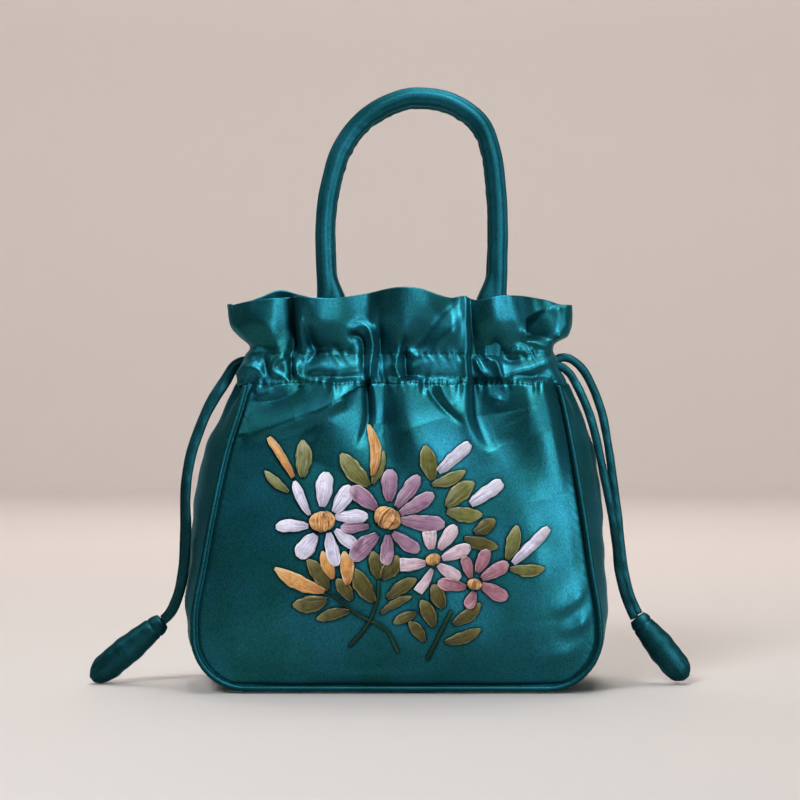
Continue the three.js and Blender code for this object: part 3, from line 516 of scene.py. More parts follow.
def tube_piece(node, points, material):
    """A closed tube from rings of points."""
    rings, sides = points.shape[:2]
    index = np.arange(rings * sides).reshape(rings, sides)
    index = np.concatenate([index, index[:, :1]], axis=1)
    faces = grid_quads(index).tolist()
    faces += [index[0, :-1][::-1].tolist(), index[-1, :-1].tolist()]
    v, u = np.meshgrid(np.linspace(0, 1, rings), np.linspace(0, 1, sides, endpoint=False), indexing="ij")
    uvs = np.stack([u, v], -1).reshape(-1, 2)
    return piece_from(node, points.reshape(-1, 3), faces, uvs, material)


def flat_section(width, thickness, seed, length):
    """A flattened tube with pressed edges and soft crosswise wrinkles."""
    def section(angle, share):
        waist = 1 + wander(share * length, seed, (41, 27, 17), 0.06)
        side = np.sign(np.cos(angle)) * np.abs(np.cos(angle)) ** 0.8
        rise = np.sign(np.sin(angle)) * np.abs(np.sin(angle)) ** 1.3
        ripple = wander(share * length + 2 * np.cos(angle), seed + 5, (19, 11), 0.1) * np.abs(np.sin(angle))
        return width / 2 * waist * side, thickness / 2 * (1 + ripple * 2) * rise
    return section


for number, (name, route) in enumerate(string_routes.items()):
    line = spline(route, 150)
    length = float(np.linalg.norm(np.diff(line, axis=0), axis=1).sum())
    points = tube_points(line, flat_section(STRING_WIDTH, STRING_THICKNESS, number, length))
    string = tube_piece(name, points, satin_string_painted_dark)
    print(name, "length", round(length), "mm")

# %% [markdown]
# ## Tips
# Each pair of strings is sewn into a stuffed tip that lies on the table: a tube of the same satin, filled
# and gathered shut at its far end. A stretched sphere would look like a balloon, so its section is worked
# out along the length, with a flat stitched band where the strings go in and folds that run into the
# gathered end.

# %% Tips
TIP_RADIUS = 7.6
TIP_FLATNESS = 0.8
tip_outline = [
    {"at": 0.0, "radius": 0.64},
    {"at": 0.05, "radius": 0.78},
    {"at": 0.14, "radius": 0.84},
    {"at": 0.36, "radius": 1.02},
    {"at": 0.62, "radius": 1.08},
    {"at": 0.82, "radius": 0.96},
    {"at": 0.94, "radius": 0.66},
    {"at": 1.0, "radius": 0.28},
]
tip_places = {
    "tip_left": {"top": (-134.6, -2.4, 35.6), "end": (-174, 0, 3.2), "length": 52, "seed": 21},
    "tip_right": {"top": (134.6, -0.1, 37.6), "end": (161.4, -2, 4.2), "length": 44, "seed": 34},
}


def tip_section(seed, length):
    def section(angle, share):
        radius = TIP_RADIUS * read(tip_outline, "radius", share)
        gathers = np.cos(9 * angle + 1.3 * np.sin(2 * angle + seed)) * smoothstep(0.6, 0.98, share) * 0.15
        dents = wander(share * length + 3 * np.cos(angle + seed), seed, (17, 9), 0.035)
        seam = -0.05 * np.exp(-((np.cos(angle / 2) / 0.09) ** 2))
        band = -0.09 * np.exp(-(((share - 0.115) / 0.014) ** 2))
        radius = radius * (1 + gathers + dents + seam + band)
        return radius * np.cos(angle), radius * TIP_FLATNESS * np.sin(angle)
    return section


for name, place in tip_places.items():
    top = np.array(place["top"], float)
    way = np.array(place["end"], float) - top
    line = top + np.linspace(0, 1, 90)[:, None] * way / np.linalg.norm(way) * place["length"]
    points = tube_points(line, tip_section(place["seed"], place["length"]))
    tip = tube_piece(name, points, satin_string_painted_dark)

# %% [markdown]
# ## The bag's body as a function
# The two faces are stuffed panels whose side seams lean in towards the neck. The tables give the half
# width, the depth of the seams and how far the stuffing stands out, by share of the height. A sculpted
# mesh could have the same form, but a function also tells every ribbon and stitch where the cloth is.

# %% Body tables and surface
BODY_HEIGHT = 170.0
SEAM_HALF_WIDTH = 112.0
SEAM_HALF_DEPTH = 42.0
FACE_SWELL = 10.0
GUSSET_SWELL = 16.0
BASE_DROP = 4.0
CORNER_RADIUS = 28.0
CORNER_TOP = (BASE_DROP + CORNER_RADIUS) / BODY_HEIGHT
WALL = 2.0

seam_table = [
    {"at": 0.0, "left": 1.0, "right": 0.972, "depth": 1.0, "swell": 0.0, "side": 0.25},
    {"at": 0.05, "left": 1.0, "right": 0.972, "depth": 1.0, "swell": 0.25, "side": 0.35},
    {"at": 0.1, "left": 1.0, "right": 0.972, "depth": 1.0, "swell": 0.54, "side": 0.43},
    {"at": 0.18, "left": 1.0, "right": 0.97, "depth": 1.0, "swell": 0.82, "side": 0.52},
    {"at": 0.26, "left": 0.998, "right": 0.963, "depth": 1.0, "swell": 0.96, "side": 0.6},
    {"at": 0.4, "left": 0.96, "right": 0.928, "depth": 0.98, "swell": 1.0, "side": 0.76},
    {"at": 0.57, "left": 0.915, "right": 0.892, "depth": 0.92, "swell": 0.92, "side": 0.92},
    {"at": 0.79, "left": 0.845, "right": 0.84, "depth": 0.76, "swell": 0.78, "side": 0.98},
    {"at": 0.92, "left": 0.785, "right": 0.805, "depth": 0.62, "swell": 0.66, "side": 0.68},
    {"at": 1.0, "left": 0.755, "right": 0.775, "depth": 0.54, "swell": 0.6, "side": 0.5},
]


def seam_edge(side, height):
    """Half width of a face at a share of the height, rounded into the base."""
    straight = SEAM_HALF_WIDTH * read(seam_table, side, np.maximum(height, CORNER_TOP))
    below = np.clip((CORNER_TOP - height) * BODY_HEIGHT, 0, CORNER_RADIUS)
    return straight - CORNER_RADIUS + np.sqrt(CORNER_RADIUS**2 - below**2)


def seam_depth(height):
    return SEAM_HALF_DEPTH * read(seam_table, "depth", height)


def plain_depth(x, z):
    """How far a face stands out from the middle of the bag, before its folds."""
    height = z / BODY_HEIGHT
    left, right = seam_edge("left", height), seam_edge("right", height)
    across = np.clip((x + left) / (left + right), 0, 1)
    round_share = 1 - np.abs(2 * across - 1) ** 2.4
    return seam_depth(height) + FACE_SWELL * read(seam_table, "swell", height) * round_share


# %% [markdown]
# ## Folds as strokes
# A gather is a ridge or a crease that starts at a stitch line and dies out in the cloth. Each one is a
# stroke: the points that it runs through on the front of the bag, how far it lifts, and how wide it is on
# its left and right. A narrow side next to a wide one makes the sharp lip that gathered satin has.
# Strokes are listed from their upper end down.

# %% Stroke helper
def stroke(points, lift, left, right, start=1.0, end=0.0, sharp=1.7):
    return {
        "line": spline(points, 40), "lift": lift, "left": left, "right": right,
        "start": start, "end": end, "sharp": sharp,
    }


def fold_height(strokes, x, z):
    """Sum of the strokes' heights at places on the front."""
    total = np.zeros_like(x, float)
    flat_x, flat_z = x.ravel(), z.ravel()
    for fold in strokes:
        line = fold["line"]
        reach = 3.2 * max(fold["left"], fold["right"])
        low, high = line.min(0) - reach, line.max(0) + reach
        near = np.flatnonzero((flat_x > low[0]) & (flat_x < high[0]) & (flat_z > low[1]) & (flat_z < high[1]))
        if len(near) == 0:
            continue
        place = np.stack([flat_x[near], flat_z[near]], -1)
        begin, step = line[:-1], np.diff(line, axis=0)
        length2 = (step**2).sum(1)
        away = place[:, None] - begin
        t = np.clip((away * step).sum(2) / length2, 0, 1)
        gap = away - t[..., None] * step
        distance2 = (gap**2).sum(2)
        best = distance2.argmin(1)
        pick = np.arange(len(near))
        distance = np.sqrt(distance2[pick, best])
        along = (best + t[pick, best]) / len(step)
        side = gap[pick, best, 0] * step[best, 1] - gap[pick, best, 1] * step[best, 0]
        width = np.where(side > 0, fold["left"], fold["right"])
        fade = np.interp(along, [0, 0.5, 1], [fold["start"], 1, fold["end"]])
        height = fold["lift"] * fade * np.exp(-((distance / width) ** fold["sharp"]))
        flat = total.reshape(-1)
        flat[near] += height
    return total


# %% Folds of the front below the casing
body_strokes = [
    stroke([(-64.5, 172), (-73, 167), (-83, 160)], 2.4, 6, 5),
    stroke([(-56, 167), (-63.5, 162.5), (-76, 160.5), (-88, 161)], -2.0, 3, 4),
    stroke([(-34, 162), (-48, 155), (-66, 148.5), (-83, 143)], 6.5, 15, 6, start=0.8, end=0.3, sharp=1.9),
    stroke([(-34, 172), (-39, 152), (-49, 128)], 4.4, 7, 19, start=0.9, sharp=1.9),
    stroke([(-19.5, 174), (-18, 160), (-18.5, 148), (-24, 134)], -3.4, 1.6, 3.0),
    stroke([(-16, 173), (-14, 158), (-15, 140)], 2.0, 2.0, 5.0),
    stroke([(-9, 172), (-9, 154), (-8, 124)], -3.6, 9, 7),
    stroke([(1, 176), (5, 150), (17, 116)], 6.0, 11, 25, start=1.0, sharp=1.9),
    stroke([(13, 172), (18, 163), (26, 154), (36, 147)], -1.5, 1.4, 3.0, start=0.9),
    stroke([(22, 172), (26, 162), (33, 153), (40, 148)], 1.6, 2.6, 6.0, start=0.8),
    stroke([(38, 172), (38, 161), (38.5, 151), (42, 142), (48.5, 133), (54, 127)], 2.2, 5, 3.0),
    stroke([(41.2, 172), (41.4, 160), (42.2, 150), (46, 140.5), (51, 133)], -5.6, 3.2, 16),
    stroke([(49.5, 166.5), (54, 161.5), (60.5, 160)], 2.0, 3.5, 3.0, start=0.3),
    stroke([(71, 178), (74, 161), (81, 139), (87, 108)], 6.8, 15, 22, sharp=1.9),
    stroke([(62, 116), (74, 84), (78, 40)], 4.6, 20, 18, start=0.3, end=0.3),
    stroke([(-20, 34), (20, 27), (60, 40)], 1.4, 14, 14, start=0.0),
    stroke([(106, 66), (97, 52), (82, 44)], 1.4, 6, 4, start=0.5),
    stroke([(108, 50), (99, 38), (86, 33)], 1.7, 5, 4, start=0.5),
    stroke([(104, 34), (92, 23), (70, 19)], 1.0, 7, 5, start=0.4),
    stroke([(-60, 12), (-20, 10), (30, 12)], 0.9, 3, 3, start=0.0),
    stroke([(-101, 40), (-92, 24), (-74, 14)], 1.2, 7, 7, start=0.0),
]


def soften(height, passes, looped=False):
    """Rounds the narrowest lips off, as the stuffing under the satin does."""
    for _ in range(passes):
        if looped:
            height = (np.roll(height, 1, 1) + 2 * height + np.roll(height, -1, 1)) / 4
        else:
            padded = np.pad(height, ((0, 0), (1, 1)), mode="edge")
            height = (padded[:, :-2] + 2 * height + padded[:, 2:]) / 4
        padded = np.pad(height, ((1, 1), (0, 0)), mode="edge")
        height = (padded[:-2] + 2 * height + padded[2:]) / 4
    return height


# %% [markdown]
# ## Gathers at the stitch lines
# The drawn thread gathers the satin into small puckers on both sides of a stitch line. They could be
# painted as a bump, but their outline shows against the light, so they are part of the shape. The same
# function gives the cloth above and below a line, so that a pucker runs through the stitches.

# %% Gathers
PUCKER = 1.5
FOLD_GAIN = 1.25
STITCH_SEEDS = (51, 57)
STITCH_PITCH = 3.2
# How much further along a stitch line one millimetre of depth counts, so that the line runs on round a corner
RUN_PER_DEPTH = 1.6


def seam_run(x, towards):
    """Place along the casing's lower stitch line, the same for the face below it and the casing above."""
    return x + towards * RUN_PER_DEPTH * plain_depth(x, 0 * x + BODY_HEIGHT)


def gathers(run, off, seed):
    """Puckers along a stitch line: irregular, stronger in some places, and a shallow groove with stitches."""
    strength = np.clip(0.5 + wander(run, seed + 3, (41, 27, 17), 0.9), 0, 1.3)
    ripple = wander(run, seed, (10.7, 7.3, 5.1), PUCKER) * strength
    groove = 0.28 * (1.3 + np.sin(2 * math.pi * run / STITCH_PITCH)) * np.exp(-((off / 0.7) ** 2))
    return np.exp(-((off / 4.6) ** 2)) * ripple - groove


def seam_wave(run):
    """How far the stitch line strays up and down."""
    return wander(run, 71, (47, 29, 16), 0.8)


def front_depth(x, z):
    """Depth of the front face with its folds and the slight unevenness of padded satin."""
    height = z / BODY_HEIGHT
    left, right = seam_edge("left", height), seam_edge("right", height)
    inset = np.minimum(x + left, right - x)
    calm = smoothstep(0, 16, inset)
    folds = FOLD_GAIN * fold_height(body_strokes, x, z) * smoothstep(-1, 9, inset)
    waves = wander(x + 0.6 * z, 3, (71, 53, 37), 0.5) + wander(z - 0.4 * x, 4, (67, 47, 31), 0.4)
    pucker = wander(x + z, 12, (6.1, 4.7, 3.9), 0.3) * np.exp(-((inset / 4.5) ** 2))
    seam = gathers(seam_run(x, -1), BODY_HEIGHT - z, STITCH_SEEDS[0])
    return plain_depth(x, z) + folds + calm * waves + pucker + seam


# %% Front and back faces
FACE_COLUMNS = 230
FACE_ROWS = 170
BACK_COLUMNS = 130
BACK_ROWS = 110


def back_depth(x, z):
    height = z / BODY_HEIGHT
    left, right = seam_edge("left", height), seam_edge("right", height)
    inset = np.minimum(x + left, right - x)
    folds = fold_height(back_strokes, x, z) * smoothstep(-1, 9, inset)
    waves = wander(x - 0.5 * z, 13, (67, 41, 27), 0.6) + wander(z + 0.3 * x, 14, (59, 33, 21), 0.5)
    pucker = wander(x - z, 15, (6.3, 4.9, 4.1), 0.35) * np.exp(-((inset / 4.5) ** 2))
    seam = gathers(seam_run(x, 1), BODY_HEIGHT - z, STITCH_SEEDS[0])
    return plain_depth(x, z) + folds + smoothstep(0, 16, inset) * waves + pucker + seam


back_strokes = [
    stroke([(-62, 172), (-70, 150), (-74, 118)], 2.8, 6, 5),
    stroke([(-46, 171), (-49, 150), (-45, 122)], -2.6, 4, 5),
    stroke([(-33, 172), (-30, 155), (-20, 130)], 2.4, 3.5, 6),
    stroke([(-18, 171), (-14, 156), (-3, 138)], -2.4, 3, 4.5),
    stroke([(-4, 172), (-3, 150), (2, 118)], 3.0, 5, 4),
    stroke([(9, 171), (11, 152), (17, 128)], -3.0, 4, 5),
    stroke([(24, 172), (31, 152), (44, 128)], 3.0, 4, 6.5),
    stroke([(43, 171), (47, 155), (58, 138)], -2.4, 4, 5),
    stroke([(61, 172), (69, 150), (76, 115)], 3.0, 6, 6),
    stroke([(-80, 88), (-70, 62), (-40, 44)], 1.4, 16, 16, start=0.0),
    stroke([(80, 92), (76, 60), (48, 36)], 1.4, 15, 17, start=0.0),
]


def face_piece(name, depth_at, towards, columns, rows):
    """A padded face: more rows near the casing, where the folds are, and an edge that turns in."""
    share = np.linspace(0, 1, rows)
    z = BASE_DROP + 0.35 + (BODY_HEIGHT - BASE_DROP - 0.35) * (1 - (1 - share) ** 1.35)
    z[-1] = BODY_HEIGHT
    height = z / BODY_HEIGHT
    u = np.linspace(0, 1, columns)
    if towards > 0:
        u = u[::-1]
    left, right = seam_edge("left", height)[:, None], seam_edge("right", height)[:, None]
    x = -left + (left + right) * u[None]
    z_grid = np.repeat(z[:, None], columns, 1)
    depth = depth_at(x, z_grid)
    rim = np.minimum(np.minimum(x + left, right - x), z_grid - BASE_DROP)
    turned = 1.3 * np.exp(-((rim / 1.4) ** 2))
    z_sewn = z_grid + seam_wave(seam_run(x, towards)) * smoothstep(150, 170, z_grid)
    outer = np.stack([x, towards * (depth - turned), z_sewn], -1)
    inner = np.stack([x, towards * (depth - WALL - 0.4), z_sewn], -1)
    return shell_piece(name, outer, inner, satin_body)


front_panel = face_piece("front_panel", front_depth, -1, FACE_COLUMNS, FACE_ROWS)
back_panel = face_piece("back_panel", back_depth, 1, BACK_COLUMNS, BACK_ROWS)

# %% [markdown]
# ## Gusset and piping
# One strip runs down a side, under the base and up the other side, and bulges where the padding presses
# on it. The corded piping covers its seams with the faces. The cord could be a plain bevelled curve, but
# sewn piping puckers a little along its length, so it gets its own ripples. A real cord is caught in the
# seam. This one stands off it by its clearance, and from the corners of the bag a thin slit of light
# shows beside it.

# %% Gusset
SIDE_SHARE = 0.36
CORNER_SHARE = 0.1
BASE_FLAT = 0.72
GUSSET_ROWS = 260
GUSSET_COLUMNS = 40
SEAM_LENGTH = 640.0


def corner_middle(side):
    return SEAM_HALF_WIDTH * read(seam_table, side, CORNER_TOP) - CORNER_RADIUS


def seam_line(share):
    """Points of the seam line from the top of the left side round the base, with its way out."""
    left = share < 0.5
    sign = np.where(left, -1.0, 1.0)
    way = np.minimum(share, 1 - share)
    height = 1 + (CORNER_TOP - 1) * np.clip(way / SIDE_SHARE, 0, 1)
    angle = np.clip((way - SIDE_SHARE) / CORNER_SHARE, 0, 1) * math.pi / 2
    straight = way <= SIDE_SHARE
    bottom = way > SIDE_SHARE + CORNER_SHARE
    edge = np.where(left, seam_edge("left", height), seam_edge("right", height))
    middle = np.where(left, corner_middle("left"), corner_middle("right"))
    along = np.clip((share - SIDE_SHARE - CORNER_SHARE) / (1 - 2 * (SIDE_SHARE + CORNER_SHARE)), 0, 1)
    x = np.where(straight, sign * edge, sign * (middle + CORNER_RADIUS * np.cos(angle)))
    x = np.where(bottom, -corner_middle("left") + along * (corner_middle("left") + corner_middle("right")), x)
    z = np.where(straight, height * BODY_HEIGHT, BASE_DROP + CORNER_RADIUS * (1 - np.sin(angle)))
    out_x = np.where(straight, sign, sign * np.cos(angle))
    out_z = np.where(straight, 0.0, -np.sin(angle))
    return x, z, out_x, out_z


def gusset_grid(rows, columns, wall):
    share = np.linspace(0, 1, rows)[:, None]
    spread = np.linspace(-1, 1, columns)[None]
    x, z, out_x, out_z = seam_line(share)
    height = z / BODY_HEIGHT
    level = np.maximum(0, -out_z) ** 2
    sideways = np.cos(spread * math.pi / 2)
    under = np.minimum(1, (1 - np.abs(spread)) / (1 - BASE_FLAT))
    swell = (1 - level) * GUSSET_SWELL * read(seam_table, "side", height) + level * BASE_DROP
    shape = (1 - level) * sideways + level * under
    length = share * SEAM_LENGTH
    edge_calm = smoothstep(0, 0.3, 1 - np.abs(spread))
    top = np.exp(-(((BODY_HEIGHT - z) / 22) ** 2))
    gathers = top * 1.1 * np.sin(spread * 11 + 1.0 + 0.02 * z) * edge_calm
    waves = wander(length + 14 * spread, 31, (83, 47, 31), 0.7) * (1 - level) * edge_calm
    beside_seam = np.exp(-(((1 - np.abs(spread)) / 0.09) ** 2))
    pucker = wander(length, 33, (6.4, 5.1, 4.2), 0.3) * beside_seam * (1 - level)
    out = swell * shape + gathers + waves + pucker - wall
    y = spread * (seam_depth(height) - 0.6)
    x = x + out_x * out
    rise = seam_wave(x + RUN_PER_DEPTH * y) * smoothstep(150, 170, z)
    return np.stack([x, y + 0 * x, z + out_z * out + rise], -1)


gusset_outside = gusset_grid(GUSSET_ROWS, GUSSET_COLUMNS, 0.0)
gusset_inside = gusset_grid(GUSSET_ROWS, GUSSET_COLUMNS, WALL)
gusset = shell_piece("gusset", gusset_outside, gusset_inside, satin_body)

# %% Piping
PIPING_RADIUS = 1.7
PIPING_CLEARANCE = 0.3


def piping_piece(name, towards, seed):
    share = np.linspace(0.002, 0.998, 420)
    x, z, out_x, out_z = seam_line(share)
    height = z / BODY_HEIGHT
    reach = (PIPING_RADIUS + PIPING_CLEARANCE) * math.sqrt(0.5)
    line = np.stack([x + out_x * reach, towards * (seam_depth(height) + reach), z + out_z * reach], -1)
    outward = np.stack([out_x, np.zeros_like(out_x), out_z], -1)
    forward = np.array([0.0, towards, 0.0])
    angle = np.linspace(0, 2 * math.pi, 14, endpoint=False)
    run = share * SEAM_LENGTH
    radius = PIPING_RADIUS * (1 + wander(run, seed, (7.3, 5.2, 3.7), 0.06))
    ring = np.cos(angle)[None, :, None] * outward[:, None] + np.sin(angle)[None, :, None] * forward
    points = line[:, None] + radius[:, None, None] * ring
    return tube_piece(name, points if towards < 0 else points[:, ::-1], satin_piping_painted_dark)


piping_piece("piping_front", -1, 41)
piping_piece("piping_rear", 1, 42)

# %% [markdown]
# ## Collar: casing and ruffle
# The casing lies between two stitch lines and the drawstring has pulled it into gathers. Above it the
# cloth opens again into a ruffle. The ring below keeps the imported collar's size, and strokes like those
# of the face carve its gathers. At the right end the ruffle folds back on itself and shows its shaded
# hollow.

# %% Collar ring
COLLAR_HEIGHT = 48.0
COLLAR_WALL = 1.6
FRONT_SHARE = 0.56
BACK_SHARE = 0.3
STITCH_RISE = 0.34
TUCK = 0.7
COLLAR_ROWS = 72
COLLAR_COLUMNS = 640
LOWER_GATHER = 0.6
UPPER_GATHER = 0.7
HOLLOW_LEFT = 70.0
HOLLOW_LIP = 207.0
HOLLOW_DEPTH = 12.0
# Half widths to the left and right, half depths at the seams and in the middle, and the sides' rounding
collar_table = [
    {"at": 0.0, "left": 92.6, "right": 94.8, "seam": 22.7, "middle": 28.7, "side": 8.0},
    {"at": 0.1, "left": 91.6, "right": 92.4, "seam": 23.6, "middle": 30.0, "side": 8.5},
    {"at": 0.22, "left": 90.0, "right": 88.6, "seam": 23.4, "middle": 29.8, "side": 8.5},
    {"at": 0.34, "left": 87.4, "right": 85.6, "seam": 22.0, "middle": 27.8, "side": 8.0},
    {"at": 0.45, "left": 84.4, "right": 86.6, "seam": 20.5, "middle": 27.6, "side": 7.5},
    {"at": 0.57, "left": 89.6, "right": 92.4, "seam": 18.5, "middle": 28.6, "side": 7.5},
    {"at": 0.69, "left": 94.4, "right": 94.6, "seam": 16.0, "middle": 29.6, "side": 7.0},
    {"at": 0.83, "left": 96.9, "right": 95.4, "seam": 13.0, "middle": 30.4, "side": 6.0},
    {"at": 1.0, "left": 98.2, "right": 95.6, "seam": 10.0, "middle": 31.0, "side": 5.0},
]
ruffle_edge = [
    {"at": 0.0, "front": -0.075, "back": -0.06},
    {"at": 0.08, "front": -0.03, "back": 0.06},
    {"at": 0.13, "front": -0.008, "back": 0.135},
    {"at": 0.19, "front": 0.01, "back": 0.08},
    {"at": 0.3, "front": -0.015, "back": 0.0},
    {"at": 0.4, "front": 0.045, "back": 0.01},
    {"at": 0.5, "front": 0.112, "back": 0.03},
    {"at": 0.56, "front": 0.104, "back": 0.03},
    {"at": 0.66, "front": -0.004, "back": 0.0},
    {"at": 0.705, "front": 0.02, "back": 0.0},
    {"at": 0.74, "front": -0.026, "back": 0.0},
    {"at": 0.81, "front": 0.02, "back": 0.01},
    {"at": 0.95, "front": -0.012, "back": 0.02},
    {"at": 1.0, "front": -0.07, "back": -0.05},
]
# How far the broad lobes of the ruffle stand out, by place from left to right
ruffle_lobes = [
    {"at": -98.0, "out": 0.0},
    {"at": -90.0, "out": 3.0},
    {"at": -80.0, "out": 6.0},
    {"at": -70.0, "out": 4.0},
    {"at": -61.0, "out": -1.5},
    {"at": -55.0, "out": 6.5},
    {"at": -45.0, "out": 7.0},
    {"at": -35.0, "out": 3.0},
    {"at": -24.0, "out": -3.5},
    {"at": -17.0, "out": -5.5},
    {"at": -8.0, "out": 1.0},
    {"at": 0.0, "out": 4.5},
    {"at": 9.0, "out": 4.5},
    {"at": 28.0, "out": 2.0},
    {"at": 38.0, "out": -4.0},
    {"at": 43.0, "out": 1.0},
    {"at": 49.0, "out": 4.0},
    {"at": 58.0, "out": 3.5},
    {"at": 68.0, "out": 1.0},
    {"at": 76.0, "out": -2.0},
    {"at": 95.0, "out": 0.0},
]
collar_strokes = [
    stroke([(-74, 206), (-70, 197), (-67, 189)], 2.6, 6, 5, start=0.2, end=0.9),
    stroke([(-62, 216), (-60, 204), (-59.7, 193), (-61.4, 184.8)], -4.4, 2.0, 4.0, start=0.3, end=1.0),
    stroke([(-54.2, 209), (-53.8, 192)], 2.4, 2, 2, start=0.2, end=0.8),
    stroke([(-51.5, 208), (-49.5, 193), (-47.5, 187.5), (-53, 179.5)], -4.4, 1.8, 3.4, start=0.3, end=0.4),
    stroke([(-47, 188), (-36, 189), (-26, 188)], -2.4, 3.5, 3, start=0.4, end=0.4),
    stroke([(-48, 178), (-36, 176.5), (-22, 178)], 2.2, 4.5, 5, start=0.5, end=0.4),
    stroke([(-26, 200.5), (-22.5, 203), (-18, 201), (-15.5, 195), (-14.6, 188.5), (-16.3, 181), (-17, 170)],
           4.6, 2.2, 2.2, start=0.3, end=1.0, sharp=1.6),
    stroke([(-26, 197), (-22.5, 196), (-20.5, 192), (-20, 185), (-19.8, 176)], -4.8, 2.0, 1.6,
           start=0.6, end=0.6),
    stroke([(-12.2, 210), (-11.4, 196), (-12, 186), (-12.5, 174)], -4.0, 1.8, 4.0, start=0.2, end=0.5),
    stroke([(-13, 206), (-12, 196), (-11, 187)], -3.4, 3, 10, start=0.0, end=0.8),
    stroke([(1, 206), (1.5, 198), (-0.5, 189)], 3.0, 5, 6, start=0.0, end=1.0),
    stroke([(-1.9, 185), (-2.8, 179.8), (1.1, 171)], 2.6, 1.6, 1.4, start=1.0, end=0.6),
    stroke([(1.9, 199), (2.8, 184), (4.6, 170)], -4.6, 2.0, 2.4, start=0.0, end=0.9),
    stroke([(3.3, 188.5), (8.8, 185.9), (13.5, 187)], 2.4, 1.3, 1.6, start=1.0, end=0.3),
    stroke([(36, 223), (27, 212), (17, 202), (8, 192)], -4.2, 9, 6, start=0.9, end=0.5),
    stroke([(39, 212), (33, 203), (25, 195), (16, 187)], 4.2, 6, 15, start=0.6, end=0.6),
    stroke([(37.4, 218), (37, 205), (38, 191.5), (37, 184), (38, 173)], 2.4, 2.6, 1.6,
           start=1.0, end=0.8, sharp=1.7),
    stroke([(40.2, 219), (40.6, 196), (39.8, 184.8), (40.4, 169.5)], -6.4, 2.0, 10,
           start=0.9, end=0.7, sharp=1.7),
    stroke([(42.5, 183), (45, 177.5), (49, 175)], 2.6, 1.4, 1.6, start=1.0, end=0.4),
    stroke([(48, 184.5), (53.5, 182.5), (55.9, 174), (56.6, 170)], 3.0, 1.8, 1.2, start=0.5, end=0.9),
    stroke([(57, 173.5), (66.4, 177), (76, 180.5), (88, 185)], 3.4, 3.0, 3.4, start=0.6, end=1.0),
    stroke([(61, 185.5), (65.8, 189), (71, 187.5)], 2.8, 1.6, 1.8, start=0.8, end=0.8),
    stroke([(58, 183.5), (63, 182.5), (68, 184)], -3.0, 1.4, 1.6, start=0.4, end=0.2),
    stroke([(52.5, 196), (55, 189), (60, 186)], -4.2, 3.0, 3.0, start=0.2, end=0.9),
    stroke([(69.5, 198), (75, 193.5), (83, 191)], 4.2, 2.2, 2.2, start=0.7, end=0.7),
    stroke([(-90, 177), (-86, 181), (-81.5, 180), (-75.5, 176.5)], 3.0, 3.6, 1.0,
           start=0.8, end=0.6, sharp=1.5),
    stroke([(-85.5, 186), (-79.5, 188), (-74.5, 185.5)], 1.8, 1.2, 1.6, start=0.5, end=0.5),
    stroke([(-75.8, 185), (-74.7, 176)], -2.6, 1.2, 1.6, start=0.5, end=0.8),
    stroke([(-61, 184.8), (-67, 184), (-70.8, 179.3), (-68.5, 175.8), (-64, 173.2), (-61, 170)],
           2.8, 1.5, 1.3, start=0.8, end=0.8, sharp=1.5),
    stroke([(-60.6, 183), (-60.2, 171)], -3.6, 1.4, 1.5, start=0.8, end=0.8),
    stroke([(-58.8, 183), (-56.4, 174), (-50.5, 169.5)], 2.6, 1.5, 1.8, start=0.8, end=0.5),
]
rear_collar_strokes = [
    stroke([(-72, 222), (-68, 205), (-66, 188)], 4.2, 6, 6, start=0.8, end=0.8),
    stroke([(-52, 216), (-50, 196), (-50, 170)], -4.4, 3, 3, start=0.3, end=0.6),
    stroke([(-36, 224), (-33, 204), (-36, 188)], 5.0, 8, 7, start=0.8, end=0.6),
    stroke([(-20, 214), (-18, 196), (-19, 170)], -4.6, 2.6, 2.6, start=0.3, end=0.8),
    stroke([(-12, 196), (-13, 184), (-11, 170)], 2.6, 2, 2, start=0.2, end=0.6),
    stroke([(0, 224), (2, 206), (-1, 190)], 5.0, 8, 8, start=0.8, end=0.5),
    stroke([(17, 218), (15, 196), (17, 170)], -5.0, 2.8, 2.8, start=0.3, end=0.8),
    stroke([(23, 194), (25, 184), (24, 170)], 2.6, 1.8, 1.8, start=0.2, end=0.6),
    stroke([(36, 222), (35, 204), (38, 190)], 4.6, 8, 8, start=0.8, end=0.6),
    stroke([(51, 214), (52, 194), (50, 170)], -4.4, 2.8, 2.8, start=0.3, end=0.8),
    stroke([(68, 222), (68, 204), (65, 188)], 4.4, 7, 7, start=0.8, end=0.8),
]


